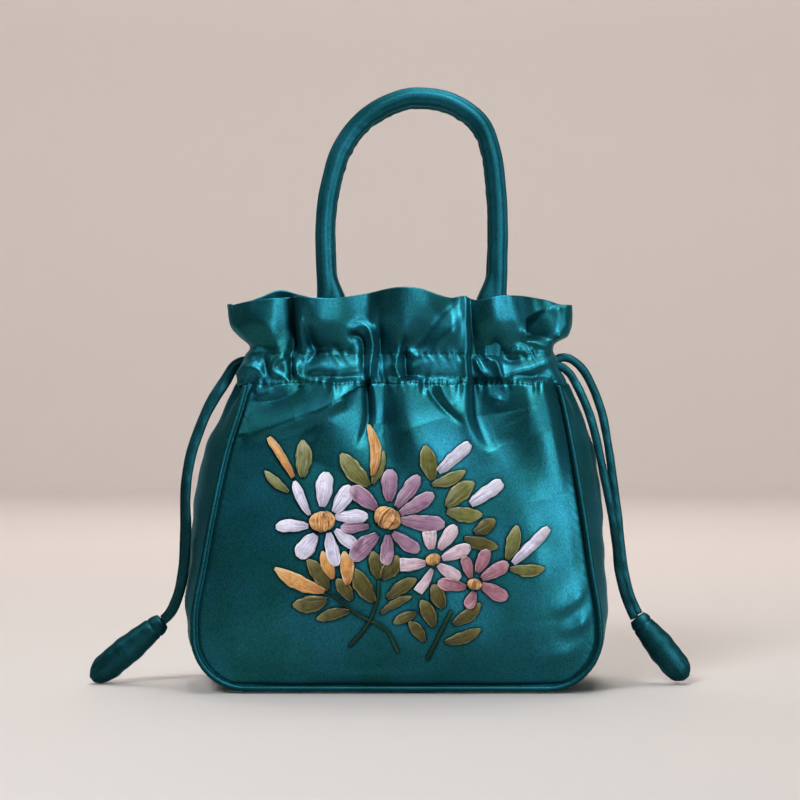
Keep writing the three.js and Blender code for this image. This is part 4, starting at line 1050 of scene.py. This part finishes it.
def collar_ring(rise, turn):
    """The ring before its gathers: x, y and, along the front and the back, the place from left to right."""
    side_share = (1 - FRONT_SHARE - BACK_SHARE) / 2
    marks = np.cumsum([0, FRONT_SHARE, side_share, BACK_SHARE, side_share])
    rise, turn = np.broadcast_arrays(rise, turn)
    front = turn < marks[1]
    right_side = (turn >= marks[1]) & (turn < marks[2])
    back = (turn >= marks[2]) & (turn < marks[3])
    across = np.where(front, turn / FRONT_SHARE, np.where(back, 1 - (turn - marks[2]) / BACK_SHARE, 0.0))
    across = np.where(right_side, 1.0, across)
    left, right = read(collar_table, "left", rise), read(collar_table, "right", rise)
    side = read(collar_table, "side", rise)
    seam, middle = read(collar_table, "seam", rise), read(collar_table, "middle", rise)
    x_face = (side - left) + (left + right - 2 * side) * across
    power = 2.4 + 0.8 * smoothstep(0.4, 0.8, rise)
    y_face = seam + (middle - seam) * (1 - np.abs(2 * across - 1) ** power)
    on_right = (turn - marks[1]) / side_share * 2 - 1
    on_left = 1 - (turn - marks[3]) / side_share * 2
    spread = np.where(right_side, on_right, on_left)
    bulge = np.sqrt(np.clip(1 - np.clip(spread, -1, 1) ** 2, 0, 1))
    x_side = np.where(right_side, right - side + side * bulge, -left + side - side * bulge)
    on_face = front | back
    x = np.where(on_face, x_face, x_side)
    y = np.where(on_face, np.where(front, -y_face, y_face), spread * seam)
    return x, y, across, front | right_side


def collar_grid(rows, columns, wall):
    """Once round from the left front seam: the front, the right side, the back and the left side."""
    turn = np.linspace(0, 1, columns, endpoint=False)[None]
    rise = np.concatenate([[0.0], np.linspace(0, 1, rows - 1)])[:, None]
    x, y, across, forward = collar_ring(rise, turn)
    edge = np.where(forward, read(ruffle_edge, "front", across), read(ruffle_edge, "back", across))
    z = BODY_HEIGHT + COLLAR_HEIGHT * (rise + edge * rise**3)
    along = np.stack([np.roll(x, -4, 1) - np.roll(x, 4, 1), np.roll(y, -4, 1) - np.roll(y, 4, 1)], -1)
    out = np.stack([along[..., 1], -along[..., 0]], -1)
    for _ in range(5):
        out = (np.roll(out, 1, 1) + out + np.roll(out, -1, 1)) / 3
    out /= np.linalg.norm(out, axis=-1)[..., None]
    fade_in = smoothstep(0, 0.1, rise)
    straight = np.where(np.abs(y) > 20, 1 - fade_in, 0)[..., None]
    out = out * (1 - straight) + np.stack([0 * x, np.sign(y)], -1) * straight
    ahead, behind = smoothstep(0, 6, -y), smoothstep(0, 6, y)
    at_top = 0 * x + BODY_HEIGHT
    low_front = (front_depth(x, at_top) - plain_depth(x, at_top)) * smoothstep(18, 22, -y)
    low_back = (back_depth(x, at_top) - plain_depth(x, at_top)) * smoothstep(18, 22, y)
    relief = fold_height(collar_strokes, x, z) * ahead + fold_height(rear_collar_strokes, x, z) * behind
    relief = soften(relief, 4, looped=True)
    relief = relief + read(ruffle_lobes, "out", x) * smoothstep(STITCH_RISE, 0.75, rise) * ahead
    relief = relief * fade_in + (low_front + low_back) * (1 - fade_in)
    run = x + RUN_PER_DEPTH * y
    inward = x - HOLLOW_LEFT
    below_lip = HOLLOW_LIP + 0.45 * inward - z
    hollow = smoothstep(0, 2.5, inward) * smoothstep(0, 3, below_lip) * smoothstep(193, 197, z)
    relief = relief + hollow * np.minimum(0.85 * inward - HOLLOW_DEPTH, 3) * ahead
    quiet = 1 - 0.8 * np.exp(-(((x - 78) / 9) ** 2 + ((z - 203) / 8) ** 2)) * ahead
    above_lower, above_upper = rise * COLLAR_HEIGHT, (rise - STITCH_RISE) * COLLAR_HEIGHT
    relief = relief + LOWER_GATHER * gathers(run, above_lower, STITCH_SEEDS[0]) * fade_in
    relief = relief + UPPER_GATHER * gathers(run, above_upper, STITCH_SEEDS[1]) * quiet
    soft = wander(run + 0.5 * z, 52, (37, 23, 14.7), 0.5) * smoothstep(0.4, 0.7, rise) * quiet
    relief = relief + soft - wall
    z = z + seam_wave(run) * (1 - smoothstep(0, 0.4, rise))
    relief[0] -= TUCK
    z[0] -= TUCK
    return np.stack([x + out[..., 0] * relief, y + out[..., 1] * relief, z], -1)


outer_ring = collar_grid(COLLAR_ROWS, COLLAR_COLUMNS, 0.0)
inner_ring = collar_grid(COLLAR_ROWS, COLLAR_COLUMNS, COLLAR_WALL)
collar = shell_piece("collar", outer_ring, inner_ring, satin_body, looped=True)

# %% [markdown]
# ## Handles
# Two padded tubes rise from inside the casing. Satin over a soft core creases across the inside of a bend
# and shows the seam that closes the tube, so both are worked into the section instead of sweeping a plain
# circle.

# %% Handles
HANDLE_RADIUS = 5.4
HANDLE_SPAN = 97.0
HANDLE_RISE = 148.0
HANDLE_FOOT = 184.0
HANDLE_SHIFT = 6.3
HANDLE_TOP_DEPTH = 6.0
HANDLE_SIDES = 48
# The foot of a handle widens inwards between these lengths from its end
FLARE_LOW = 30.0
FLARE_HIGH = 50.0
handle_table = [
    (-0.49, 0.0), (-0.49, 0.26), (-0.5, 0.49), (-0.478, 0.64), (-0.407, 0.8), (-0.268, 0.92), (-0.07, 0.99),
    (0.08, 1.0), (0.236, 0.979), (0.39, 0.909), (0.465, 0.8), (0.497, 0.64), (0.506, 0.49), (0.5, 0.33),
    (0.485, 0.0),
]


def handle_piece(name, towards, seed):
    low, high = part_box(name)
    foot = abs(low.y if towards < 0 else high.y) / MM - HANDLE_RADIUS
    points = []
    for across, up in handle_table:
        ease = up * up * (3 - 2 * up)
        depth = foot + (HANDLE_TOP_DEPTH - foot) * ease
        points.append((HANDLE_SHIFT + across * HANDLE_SPAN, towards * depth, HANDLE_FOOT + up * HANDLE_RISE))
    line = spline(points, 300)
    length = float(np.linalg.norm(np.diff(line, axis=0), axis=1).sum())

    def section(angle, share):
        run = share * length
        bend = np.exp(-(((share - 0.36) / 0.1) ** 2)) + np.exp(-(((share - 0.62) / 0.1) ** 2))
        inside = np.clip(-towards * np.cos(angle), 0, 1)
        foot_run = np.minimum(run, length - run)
        flare = 1.1 * (1 - smoothstep(FLARE_LOW, FLARE_HIGH, foot_run)) * inside**2
        creases = wander(run + 1.5 * np.sin(angle), seed, (8.9, 5.7, 13.1), 0.07) * inside * (0.12 + bend)
        soft = wander(run + 5 * np.cos(angle), seed + 3, (47, 31, 21), 0.025)
        seam_angle = math.pi * 0.73
        off = np.angle(np.exp(1j * (angle - seam_angle)))
        seam = -0.09 * np.exp(-((off / 0.14) ** 2)) + 0.03 * np.exp(-(((off - 0.3) / 0.2) ** 2))
        press = -0.07 * np.exp(-((np.angle(np.exp(1j * (angle - 1.1))) / 0.22) ** 2))
        radius = HANDLE_RADIUS * (1 + creases + soft + seam + press + flare)
        return radius * np.cos(angle), radius * np.sin(angle)

    points = tube_points(line, section, (0, towards, 0), HANDLE_SIDES)
    piece = tube_piece(name, points, satin_handle_painted_dark)
    return piece


handle_piece("handle_front", -1, 61)
handle_piece("handle_rear", 1, 62)

# %% [markdown]
# ## Ribbon embroidery
# The flowers are worked in silk ribbon: each petal or leaf is one stitch that comes up through the satin,
# lies over it with a soft puff, and goes down again at its pointed tip. The chart gives where each stitch
# starts and ends on the front, in millimetres, and how wide the ribbon is. A height map remembers what is
# already sewn, so that later stitches lie on top of earlier ones and never run through them.

# %% Embroidery ground and stitch shapes
PIXEL = 0.5
MAP_X = np.arange(-100, 100, PIXEL)
MAP_Z = np.arange(12, 158, PIXEL)
ground = np.zeros((len(MAP_Z), len(MAP_X)))
RIBBON_GAP = 0.3
RIBBON_THICKNESS = 0.35
STITCH_ROWS = 36
STITCH_COLUMNS = 17
# Outline of each kind of stitch: pairs of the share along it and the share of its full width there
shapes = {
    "petal": [
        (0.0, 0.32), (0.1, 0.56), (0.28, 0.82), (0.5, 0.98),
        (0.7, 1.0), (0.86, 0.84), (0.95, 0.55), (1.0, 0.25),
    ],
    "blunt": [(0.0, 0.34), (0.1, 0.55), (0.35, 0.82), (0.7, 0.98), (0.94, 1.0), (1.0, 0.9)],
    "leaf": [(0.0, 0.26), (0.1, 0.56), (0.35, 0.98), (0.6, 1.04), (0.82, 0.76), (0.94, 0.4), (1.0, 0.14)],
    "rod": [(0.0, 0.45), (0.12, 0.76), (0.4, 0.97), (0.75, 1.0), (0.91, 0.88), (0.98, 0.62), (1.0, 0.42)],
    "horn": [(0.0, 0.35), (0.2, 0.8), (0.5, 1.0), (0.75, 0.8), (0.92, 0.5), (1.0, 0.2)],
    "turn": [(0.0, 0.3), (0.15, 0.8), (0.5, 1.0), (0.85, 0.85), (1.0, 0.25)],
}


def lookup(height_map, x, z):
    column = np.clip((x - MAP_X[0]) / PIXEL, 0, len(MAP_X) - 1.001)
    row = np.clip((z - MAP_Z[0]) / PIXEL, 0, len(MAP_Z) - 1.001)
    c, r = column.astype(int), row.astype(int)
    fc, fr = column - c, row - r
    return (
        height_map[r, c] * (1 - fc) * (1 - fr)
        + height_map[r, c + 1] * fc * (1 - fr)
        + height_map[r + 1, c] * (1 - fc) * fr
        + height_map[r + 1, c + 1] * fc * fr
    )


def raise_ground(x, z, height):
    """Records the top of a stitch in the height map."""
    column = np.clip(np.rint((x - MAP_X[0]) / PIXEL).astype(int), 0, len(MAP_X) - 1)
    row = np.clip(np.rint((z - MAP_Z[0]) / PIXEL).astype(int), 0, len(MAP_Z) - 1)
    np.maximum.at(ground, (row.ravel(), column.ravel()), height.ravel())


def stitch(start, end, width, shape="petal", bend=0.0, puff=1.0, twist=0.0, seed=0):
    """Outer and inner grid of one ribbon stitch, laid on the ground."""
    rows, columns = STITCH_ROWS, STITCH_COLUMNS
    start, end = np.asarray(start, float), np.asarray(end, float)
    length = float(np.linalg.norm(end - start))
    along = (end - start) / length
    aside = np.array([along[1], -along[0]])
    v = np.linspace(0, 1, rows)[:, None]
    u = np.linspace(-1, 1, columns)[None]
    profile = np.interp(v, *zip(*shapes[shape]))
    profile = np.convolve(np.pad(profile[:, 0], 2, mode="edge"), [0.1, 0.2, 0.4, 0.2, 0.1], "valid")[:, None]
    ragged = wander(v * length + 9 * np.sign(u), seed, (13, 7.1), 0.07)
    side = u * width / 2 * profile * (1 + ragged)
    curve = bend * length * np.sin(math.pi * v)
    x = start[0] + along[0] * v * length + aside[0] * (side + curve)
    z = start[1] + along[1] * v * length + aside[1] * (side + curve)
    arch = np.sin(math.pi * np.clip(v * 0.94 + 0.03, 0, 1)) ** 0.6
    crown = (1 - np.abs(u) ** 3.4) * 0.8
    fold_place = np.random.default_rng(seed).uniform(-0.5, 0.5)
    fold = -0.2 * np.exp(-(((u - fold_place - 0.2 * v) / 0.14) ** 2)) * smoothstep(0.1, 0.75, 1 - v)
    lips = 0.2 * np.exp(-(((np.abs(u) - 0.9) / 0.07) ** 2))
    creases = wander(u * width, seed + 7, (2.3, 1.5), 0.11) * (1 - 0.5 * v)
    turned = twist * u * np.sin(2.4 * math.pi * v)
    loft = puff * arch * (crown + fold + lips + 0.25) + creases * arch + turned
    under = lookup(ground, x, z)
    base = under.copy()
    for _ in range(6):
        wide = np.maximum(base, np.pad(base, ((1, 1), (0, 0)), mode="edge")[:-2])
        wide = np.maximum(wide, np.pad(base, ((1, 1), (0, 0)), mode="edge")[2:])
        base = np.maximum(under, 0.5 * wide + 0.5 * base - 0.03)
    top = base + RIBBON_GAP + np.maximum(loft, 0.05) + RIBBON_THICKNESS
    low = top - RIBBON_THICKNESS
    raise_ground(x, z, top)
    fabric = front_depth(x, z)
    outer = np.stack([x, -(fabric + top), z], -1)
    inner = np.stack([x, -(fabric + low), z], -1)
    return outer, inner


def stitch_uvs(rows, columns):
    v, u = np.meshgrid(np.linspace(0, 1, rows), np.linspace(0, 1, columns), indexing="ij")
    return np.tile(np.stack([u, v], -1).reshape(-1, 2), (2, 1))


def embroidery_piece(name, parts):
    """One piece from several stitches, each with its own silk."""
    points, faces, smooth, uvs, silks, numbers = [], [], [], [], [], []
    count = 0
    for grids, colour in parts:
        outer, inner = grids
        rows, columns = outer.shape[:2]
        # the front faces -Y, so the grid is turned to face outward
        outer, inner = outer[:, ::-1], inner[:, ::-1]
        made, soft = shell_faces(rows, columns, count)
        points.append(np.concatenate([outer.reshape(-1, 3), inner.reshape(-1, 3)]))
        uvs.append(stitch_uvs(rows, columns))
        faces += made
        smooth += soft
        if colour not in silks:
            silks.append(colour)
        numbers += [silks.index(colour)] * len(made)
        count += 2 * rows * columns
    piece = piece_from(name, np.concatenate(points), faces, np.concatenate(uvs), silk[silks[0]], smooth)
    for colour in silks[1:]:
        piece.data.materials.append(silk[colour])
    piece.data.polygons.foreach_set("material_index", numbers)
    return piece


# A knot's ribbon turns: start and end in shares of its radius, width and bend
knot_turns = [
    ((-0.5, -0.72), (-0.42, 0.76), 0.66, -0.2),
    ((0.34, 0.84), (0.52, -0.7), 0.66, -0.22),
    ((-0.2, -0.86), (-0.06, 0.84), 0.6, -0.1),
    ((0.2, 0.72), (0.14, -0.8), 0.52, -0.06),
    ((0.05, 0.42), (0.8, 0.18), 0.5, 0.14),
]


def knot_parts(centre, radius, count, lean, seed):
    """A knotted middle: short ribbon turns side by side and over one another, turned by an angle."""
    parts = []
    across, up = (math.cos(lean), math.sin(lean)), (-math.sin(lean), math.cos(lean))
    for order, (start, end, width, bend) in enumerate(knot_turns[:count]):
        first = [centre[i] + radius * (start[0] * across[i] + start[1] * up[i]) for i in (0, 1)]
        last = [centre[i] + radius * (end[0] * across[i] + end[1] * up[i]) for i in (0, 1)]
        parts.append(stitch(first, last, width * radius, "turn", bend, 1.5, 0.15, seed + order))
    return parts


def dome(centre, radius, lift):
    """The soft core of a knot, under its loops."""
    rows, columns = 13, 13
    v, u = np.meshgrid(np.linspace(-1, 1, rows), np.linspace(-1, 1, columns), indexing="ij")
    x = centre[0] + radius * u * np.sqrt(1 - v**2 / 2)
    z = centre[1] + radius * v * np.sqrt(1 - u**2 / 2)
    reach = np.minimum(1, np.hypot(x - centre[0], z - centre[1]) / radius)
    top = RIBBON_GAP + lift * np.sqrt(np.clip(1 - reach**2, 0, 1)) + 0.2
    raise_ground(x, z, top)
    fabric = front_depth(x, z)
    return np.stack([x, -(fabric + top), z], -1), np.stack([x, -(fabric + 0.1 + 0 * top), z], -1)


def stem_line(points, width=1.5, twists=9.0):
    """A twisted thread stem through points on the front."""
    line = spline(points, 60)
    way = np.gradient(line, axis=0)
    way /= np.linalg.norm(way, axis=1)[:, None]
    aside = np.stack([way[:, 1], -way[:, 0]], -1)
    u = np.linspace(-1, 1, 9)[None]
    v = np.linspace(0, 1, len(line))[:, None]
    twisted = 0.16 * np.sin(v * twists * 2 * math.pi + 2.0 * u)
    x = line[:, :1] + aside[:, :1] * u * width / 2
    z = line[:, 1:] + aside[:, 1:] * u * width / 2
    top = lookup(ground, x, z) + RIBBON_GAP + (0.75 + twisted) * np.sqrt(1 - 0.92 * u**2)
    raise_ground(x, z, top)
    fabric = front_depth(x, z)
    return np.stack([x, -(fabric + top), z], -1), np.stack([x, -(fabric + top * 0 + 0.1), z], -1)


# %% Embroidery chart
# Columns of a stitch: start, end, width, shape, bend, silk
chart = {
    "leaf_pair": [
        ((25.5, 102.5), (40.5, 116), 9.5, "leaf", -0.05, "olive"),
        ((25.5, 100), (45, 98), 8, "leaf", 0.04, "olive"),
        ((40.5, 88.5), (52, 95.5), 7.5, "leaf", 0.03, "leaf"),
        ((35, 85.5), (53.5, 80.5), 7, "leaf", 0.03, "leaf"),
    ],
    "spray_left": [
        ((-39.5, 52), (-58.5, 49), 9, "leaf", -0.05, "leaf"),
        ((-27.5, 46), (-45.5, 41.5), 6, "leaf", 0.03, "leaf"),
        ((-39, 57.5), (-50.5, 74), 8, "leaf", 0.04, "leaf"),
        ((-26.5, 52), (-34.5, 63.5), 7, "leaf", 0.03, "leaf"),
        ((-14, 51), (-25, 69), 9, "leaf", -0.04, "leaf"),
        ((-11.5, 63.5), (-15, 78.5), 7, "leaf", 0.0, "leaf"),
        ((-10, 63.5), (-1, 76), 9, "leaf", 0.04, "leaf"),
        ((-7, 53), (9, 63.5), 7, "leaf", -0.04, "leaf"),
        ((-10.5, 45), (6.5, 54), 4.5, "leaf", -0.05, "leaf"),
    ],
    "leaf_fork": [
        ((9, 45), (-3.5, 39.5), 5.5, "leaf", 0.03, "leaf"),
        ((13.5, 29.5), (5, 40.5), 6, "leaf", 0.03, "leaf"),
    ],
    "spray_right": [
        ((23.5, 47.5), (18, 60.5), 8, "leaf", 0.0, "leaf"),
        ((18.5, 37.5), (11.5, 52), 7.5, "leaf", 0.04, "leaf"),
        ((29, 39), (44, 50), 7, "leaf", 0.05, "leaf"),
        ((24.5, 29), (44, 36), 6.5, "leaf", 0.05, "leaf"),
    ],
    "gold_leaves": [
        ((-36.5, 63.5), (-42.5, 78.5), 6.5, "leaf", 0.0, "gold"),
        ((-28.5, 60.5), (-30.5, 78.5), 7.5, "leaf", 0.04, "gold"),
        ((-41, 56.5), (-68.5, 69), 8, "leaf", -0.05, "gold"),
    ],
    "bud_left": [
        ((-53.5, 118.5), (-53.5, 139), 9, "leaf", 0.03, "olive"),
        ((-61, 110.5), (-74.5, 122), 5, "leaf", -0.04, "olive"),
        ((-58.5, 118.5), (-72.5, 140.5), 4.5, "rod", 0.02, "gold"),
    ],
    "bud_middle": [
        ((-17, 114), (-32.5, 131.5), 9.5, "leaf", -0.04, "olive"),
        ((-15, 115), (-9, 133), 5.5, "leaf", 0.03, "olive"),
        ((-15, 119.5), (-17.5, 147.5), 6.5, "horn", 0.1, "gold"),
    ],
    "bud_upper_right": [
        ((18, 117), (13.5, 136), 9, "leaf", 0.0, "olive"),
        ((17.5, 114.5), (36, 122), 6.5, "leaf", 0.05, "olive"),
        ((21, 121.5), (38.5, 137), 7, "rod", 0.0, "white"),
    ],
    "bud_right": [
        ((38.5, 104), (56, 116), 7.5, "rod", 0.0, "white"),
    ],
    "bud_lower_right": [
        ((58.5, 74), (64, 92.5), 7.5, "leaf", 0.03, "olive"),
        ((60, 69), (79, 69), 6.5, "leaf", 0.05, "olive"),
        ((61.5, 72), (81.5, 91), 6, "rod", 0.0, "white"),
    ],
    "flower_white": [
        ((-50, 92), (-68, 91.5), 7, "petal", 0.03, "white"),
        ((-49.5, 98), (-58, 116.5), 5.5, "petal", -0.03, "white"),
        ((-46, 87.5), (-55.5, 75), 10, "petal", 0.0, "white"),
        ((-39, 88.5), (-34.5, 70.5), 7.5, "petal", 0.02, "white"),
        ((-35.5, 90), (-23, 80.5), 7, "petal", 0.02, "white"),
        ((-35.5, 97), (-17.5, 97.5), 7.5, "petal", 0.0, "white"),
        ((-36, 99.5), (-27, 114), 9, "petal", 0.02, "white"),
        ((-42.5, 102.5), (-40.5, 121.5), 9.5, "petal", 0.0, "white"),
    ],
    "flower_mauve": [
        ((-17, 92), (-32.5, 91), 6, "petal", 0.0, "mauve"),
        ((-12.5, 87.5), (-26.5, 74), 10, "petal", 0.03, "mauve"),
        ((-6.5, 87.5), (-7.5, 71), 7.5, "petal", 0.0, "mauve"),
        ((-13, 101.5), (-27, 113), 9, "petal", 0.02, "mauve"),
        ((-6, 105.5), (-5.5, 123), 9, "petal", 0.0, "mauve"),
        ((-2, 102.5), (10.5, 119.5), 8, "petal", 0.0, "mauve"),
        ((0, 99), (18.5, 109.5), 8, "petal", 0.02, "mauve"),
        ((-4, 88.5), (10.5, 78.5), 7.5, "petal", 0.02, "mauve"),
        ((0.5, 95.5), (24.5, 93), 9, "petal", 0.02, "mauve"),
    ],
    "flower_blush": [
        ((17, 79.5), (16, 89.5), 8, "blunt", 0.0, "blush"),
        ((14, 72), (0, 71), 7.5, "blunt", 0.0, "blush"),
        ((17.5, 69), (9.5, 56.5), 5.5, "blunt", -0.05, "blush"),
        ((20.5, 71), (33, 63.5), 7, "petal", 0.0, "blush"),
        ((23, 74.5), (38.5, 81), 7.5, "petal", 0.0, "blush"),
        ((21.5, 79.5), (30.5, 92.5), 7.5, "petal", 0.0, "blush"),
    ],
    "flower_rose": [
        ((36, 59), (20.5, 61.5), 7, "petal", 0.0, "rose"),
        ((40.5, 56.5), (37, 47.5), 6.5, "petal", 0.0, "rose"),
        ((44.5, 60.5), (58.5, 53), 8, "petal", 0.03, "rose"),
        ((44.5, 63.5), (59, 72), 7.5, "petal", 0.0, "rose"),
        ((42, 67), (48, 79.5), 7, "petal", 0.0, "rose"),
        ((38.5, 64), (35, 76), 6, "petal", 0.0, "rose"),
    ],
}
stems = {
    "spray_left": [
        [(-39, 56.5), (-23, 44), (-8, 36), (-1, 23.5)],
        [(-27.5, 26.5), (-18, 38), (-12.5, 51), (-11.5, 62.5)],
    ],
    "spray_right": [[(15, 19.5), (22.5, 35), (28, 46)]],
}
knots = {
    "flower_white": {"centre": (-42.5, 94.5), "radius": 6.6, "turns": 4, "lean": 0.1},
    "flower_mauve": {"centre": (-7, 96.5), "radius": 7.0, "turns": 5, "lean": -0.5},
    "flower_blush": {"centre": (18, 74), "radius": 3.8, "turns": 3, "lean": 0.3},
    "flower_rose": {"centre": (40.5, 60.5), "radius": 3.6, "turns": 3, "lean": -0.2},
}

# %% Sew the chart
for number, (name, rows) in enumerate(chart.items()):
    parts = [(stem_line(points), "stem") for points in stems.get(name, [])]
    for order, (start, end, width, shape, bend, colour) in enumerate(rows):
        puff = {"petal": 1.3, "blunt": 1.2, "leaf": 1.1, "rod": 1.7, "horn": 1.6}[shape]
        seed = 100 * number + order
        twist = 0.35 if (name == "flower_white" and order == 0) else 0.08
        parts.append((stitch(start, end, width, shape, bend, puff, twist, seed), colour))
    if name in knots:
        knot = knots[name]
        parts.append((dome(knot["centre"], knot["radius"] * 0.85, 1.2), "knot"))
        turns = knot_parts(knot["centre"], knot["radius"], knot["turns"], knot["lean"], 900 + 10 * number)
        parts += [(turn, "knot") for turn in turns]
    embroidery_piece(name, parts)

# %% [markdown]
# ## Painted shade in the creases
# Down in a crease, and right beside each raised stitch, little light gets out again and the cloth looks
# almost black. With the lamps used here these places came out too pale. More or darker lamps could be
# tried, but that changes the whole bag. The shape itself tells how deep a point lies below the cloth round
# it, and the height map tells where ribbon lies. So painted shade for the creases and a painted shadow
# round each stitch are stored on the mesh, and the satin's node group darkens the colour by them.

# %% Shade in the creases and beside the stitches
CREASE_SHADE = 0.3
DARKEST = 0.85
STITCH_SHADOW_STEPS = 10
STITCH_SHADOW_STRENGTH = 2.2
FACE_PASSES = 30
COLLAR_PASSES = 60


def crease_depth(points, passes, looped=False):
    """How deep each point of a grid lies below the cloth round it, in millimetres."""
    around = np.stack([soften(points[..., axis], passes, looped) for axis in range(3)], -1)
    normal = np.cross(np.gradient(points, axis=1), np.gradient(points, axis=0))
    normal /= np.maximum(np.linalg.norm(normal, axis=-1), 1e-9)[..., None]
    return ((around - points) * normal).sum(-1)


def shade_creases(piece, rows, columns, passes, looped=False, sewn=None):
    """Paints shade into the satin's colour down in a crease, and a painted shadow beside the stitches."""
    count = rows * columns
    places = np.empty(len(piece.data.vertices) * 3)
    piece.data.vertices.foreach_get("co", places)
    outer = places.reshape(-1, 3)[:count].reshape(rows, columns, 3) / MM
    amount = CREASE_SHADE * crease_depth(outer, passes, looped)
    # sewn holds the painted shadow round the stitches
    if sewn is not None:
        amount = np.maximum(amount, STITCH_SHADOW_STRENGTH * lookup(sewn, outer[..., 0], outer[..., 2]))
    amount = np.concatenate([np.clip(amount, 0, DARKEST).ravel(), np.zeros(count)])
    shade = piece.data.attributes.new("pulled in", "FLOAT", "POINT")
    shade.data.foreach_set("value", amount.astype(np.float32))
    print(piece.name, "mean shade in its creases", round(float(amount[:count].mean()), 3))


# Painted shadow round the stitches: the sewn area of the height map, spread a little way onto the satin
sewn = (ground > 0.2).astype(float)
for _ in range(STITCH_SHADOW_STEPS):
    sides = np.roll(sewn, 1, 0) + np.roll(sewn, -1, 0) + np.roll(sewn, 1, 1) + np.roll(sewn, -1, 1)
    sewn = 0.5 * sewn + 0.125 * sides
shade_creases(front_panel, FACE_ROWS, FACE_COLUMNS, FACE_PASSES, sewn=sewn)
shade_creases(collar, COLLAR_ROWS, COLLAR_COLUMNS, COLLAR_PASSES, looped=True)
print("embroidery:", sum(len(rows) for rows in chart.values()), "ribbon stitches")

# %% [markdown]
# ## Floor and light
# The bag stands on a pale floor that curves up into a wall. In front of the bag the floor is painted
# nearly black: painted shade, so that the satin reflects a dark surround there. Towards the far side the
# floor is a little darker. Satin is all reflection, so the lights decide how it reads. One set of lamps
# could light everything, but the folds read best with lamps from high up and from the right, and the
# ribbons with a soft one from the left. So three lamps light the satin alone, the key lights only the
# ribbons and the floor, and a dim surround leaves the turned-away folds dark.

# %% Floor and light
FLOOR_REACH = 2.6
FLOOR_CURVE = 0.9
FLOOR_SIDES = 96
WALL_TOP = 3.2


def make_floor():
    flat = np.linspace(0, FLOOR_REACH, 40)
    bend = np.linspace(0.1, 1.57, 16)
    edge = FLOOR_REACH + FLOOR_CURVE
    radius = np.concatenate([flat, FLOOR_REACH + FLOOR_CURVE * np.sin(bend), [edge]])
    height = np.concatenate([0 * flat, FLOOR_CURVE * (1 - np.cos(bend)), [WALL_TOP]])
    angle = np.linspace(0, 2 * math.pi, FLOOR_SIDES, endpoint=False)
    x, y = radius[:, None] * np.cos(angle), radius[:, None] * np.sin(angle)
    points = np.stack([x, y, np.repeat(height[:, None], FLOOR_SIDES, 1)], -1)
    index = np.arange(len(radius) * FLOOR_SIDES).reshape(-1, FLOOR_SIDES)
    index = np.concatenate([index, index[:, :1]], axis=1)
    faces = grid_quads(index)[:, TURNED].tolist()
    mesh = bpy.data.meshes.new("floor")
    mesh.from_pydata(points.reshape(-1, 3).tolist(), [], faces)
    mesh.polygons.foreach_set("use_smooth", [True] * len(mesh.polygons))
    floor = bpy.data.objects.new("floor", mesh)
    bpy.context.scene.collection.objects.link(floor)
    material = bpy.data.materials.new("floor painted dark in front")
    material.use_nodes = True
    tree = material.node_tree
    shader = tree.nodes["Principled BSDF"]
    where = tree.nodes.new("ShaderNodeTexCoord").outputs["Object"]
    place = add_node(tree, "ShaderNodeSeparateXYZ", {"Vector": where})
    # Painted shade: in front of the bag the floor is mixed to nearly black, so the satin reflects dark there
    ahead = add_node(
        tree, "ShaderNodeMapRange", {"Value": place.outputs["Y"], "From Min": -0.75, "From Max": -0.42}
    )
    beyond = add_node(
        tree, "ShaderNodeMapRange", {"Value": place.outputs["Y"], "From Min": 1.2, "From Max": 2.6}
    )
    wide = mix_colour(tree, beyond.outputs["Result"], (0.6, 0.56, 0.54, 1), (0.49, 0.457, 0.441, 1))
    pale = mix_colour(tree, ahead.outputs["Result"], (0.03, 0.03, 0.032, 1), wide)
    tree.links.new(pale, shader.inputs["Base Color"])
    shader.inputs["Roughness"].default_value = 0.7
    mesh.materials.append(material)


make_floor()


def area_light(name, place, target, size, power, colour):
    data = bpy.data.lights.new(name, "AREA")
    data.shape = "RECTANGLE"
    data.size, data.size_y = size
    data.energy = power
    data.color = colour
    light = bpy.data.objects.new(name, data)
    light.location = place
    light.rotation_euler = (Vector(target) - Vector(place)).to_track_quat("-Z", "Y").to_euler()
    bpy.context.scene.collection.objects.link(light)
    return light


key = area_light("key", (-0.6, -1.25, 1.1), (0, 0, 0.15), (0.5, 0.4), 22, (0.92, 0.97, 1.0))
area_light("top", (0.1, 0.0, 1.5), (0, 0, 0.1), (0.9, 0.7), 13, (1.0, 0.98, 0.96))
area_light("wall wash", (0.0, 1.1, 2.3), (0, 3.4, 0.45), (3.0, 0.6), 44, (1.0, 0.92, 0.87))
satin_lights = [
    area_light("satin high", (0.35, -0.9, 1.43), (0, 0, 0.15), (0.4, 0.4), 38, (0.72, 0.9, 1.0)),
    area_light("satin right", (0.84, -1.24, 0.29), (0, 0, 0.15), (0.45, 0.9), 28, (0.7, 0.88, 1.0)),
    area_light("satin left", (-1.1, -0.55, 1.1), (0, 0, 0.15), (0.3, 0.5), 5, (0.76, 0.92, 1.0)),
]
satin_only = bpy.data.collections.new("satin receivers")
others = bpy.data.collections.new("ribbon and floor receivers")
for piece in bpy.context.scene.objects:
    if piece.type == "MESH" and piece.name.endswith("-sewn") and "satin" in piece.data.materials[0].name:
        satin_only.objects.link(piece)
    elif piece.type == "MESH":
        others.objects.link(piece)
for light in satin_lights:
    light.light_linking.receiver_collection = satin_only
key.light_linking.receiver_collection = others

world = bpy.data.worlds.new("surround")
world.use_nodes = True
world.node_tree.nodes["Background"].inputs["Color"].default_value = (1.0, 0.9, 0.82, 1)
world.node_tree.nodes["Background"].inputs["Strength"].default_value = 0.018
bpy.context.scene.world = world
bpy.context.scene.view_settings.view_transform = "Standard"
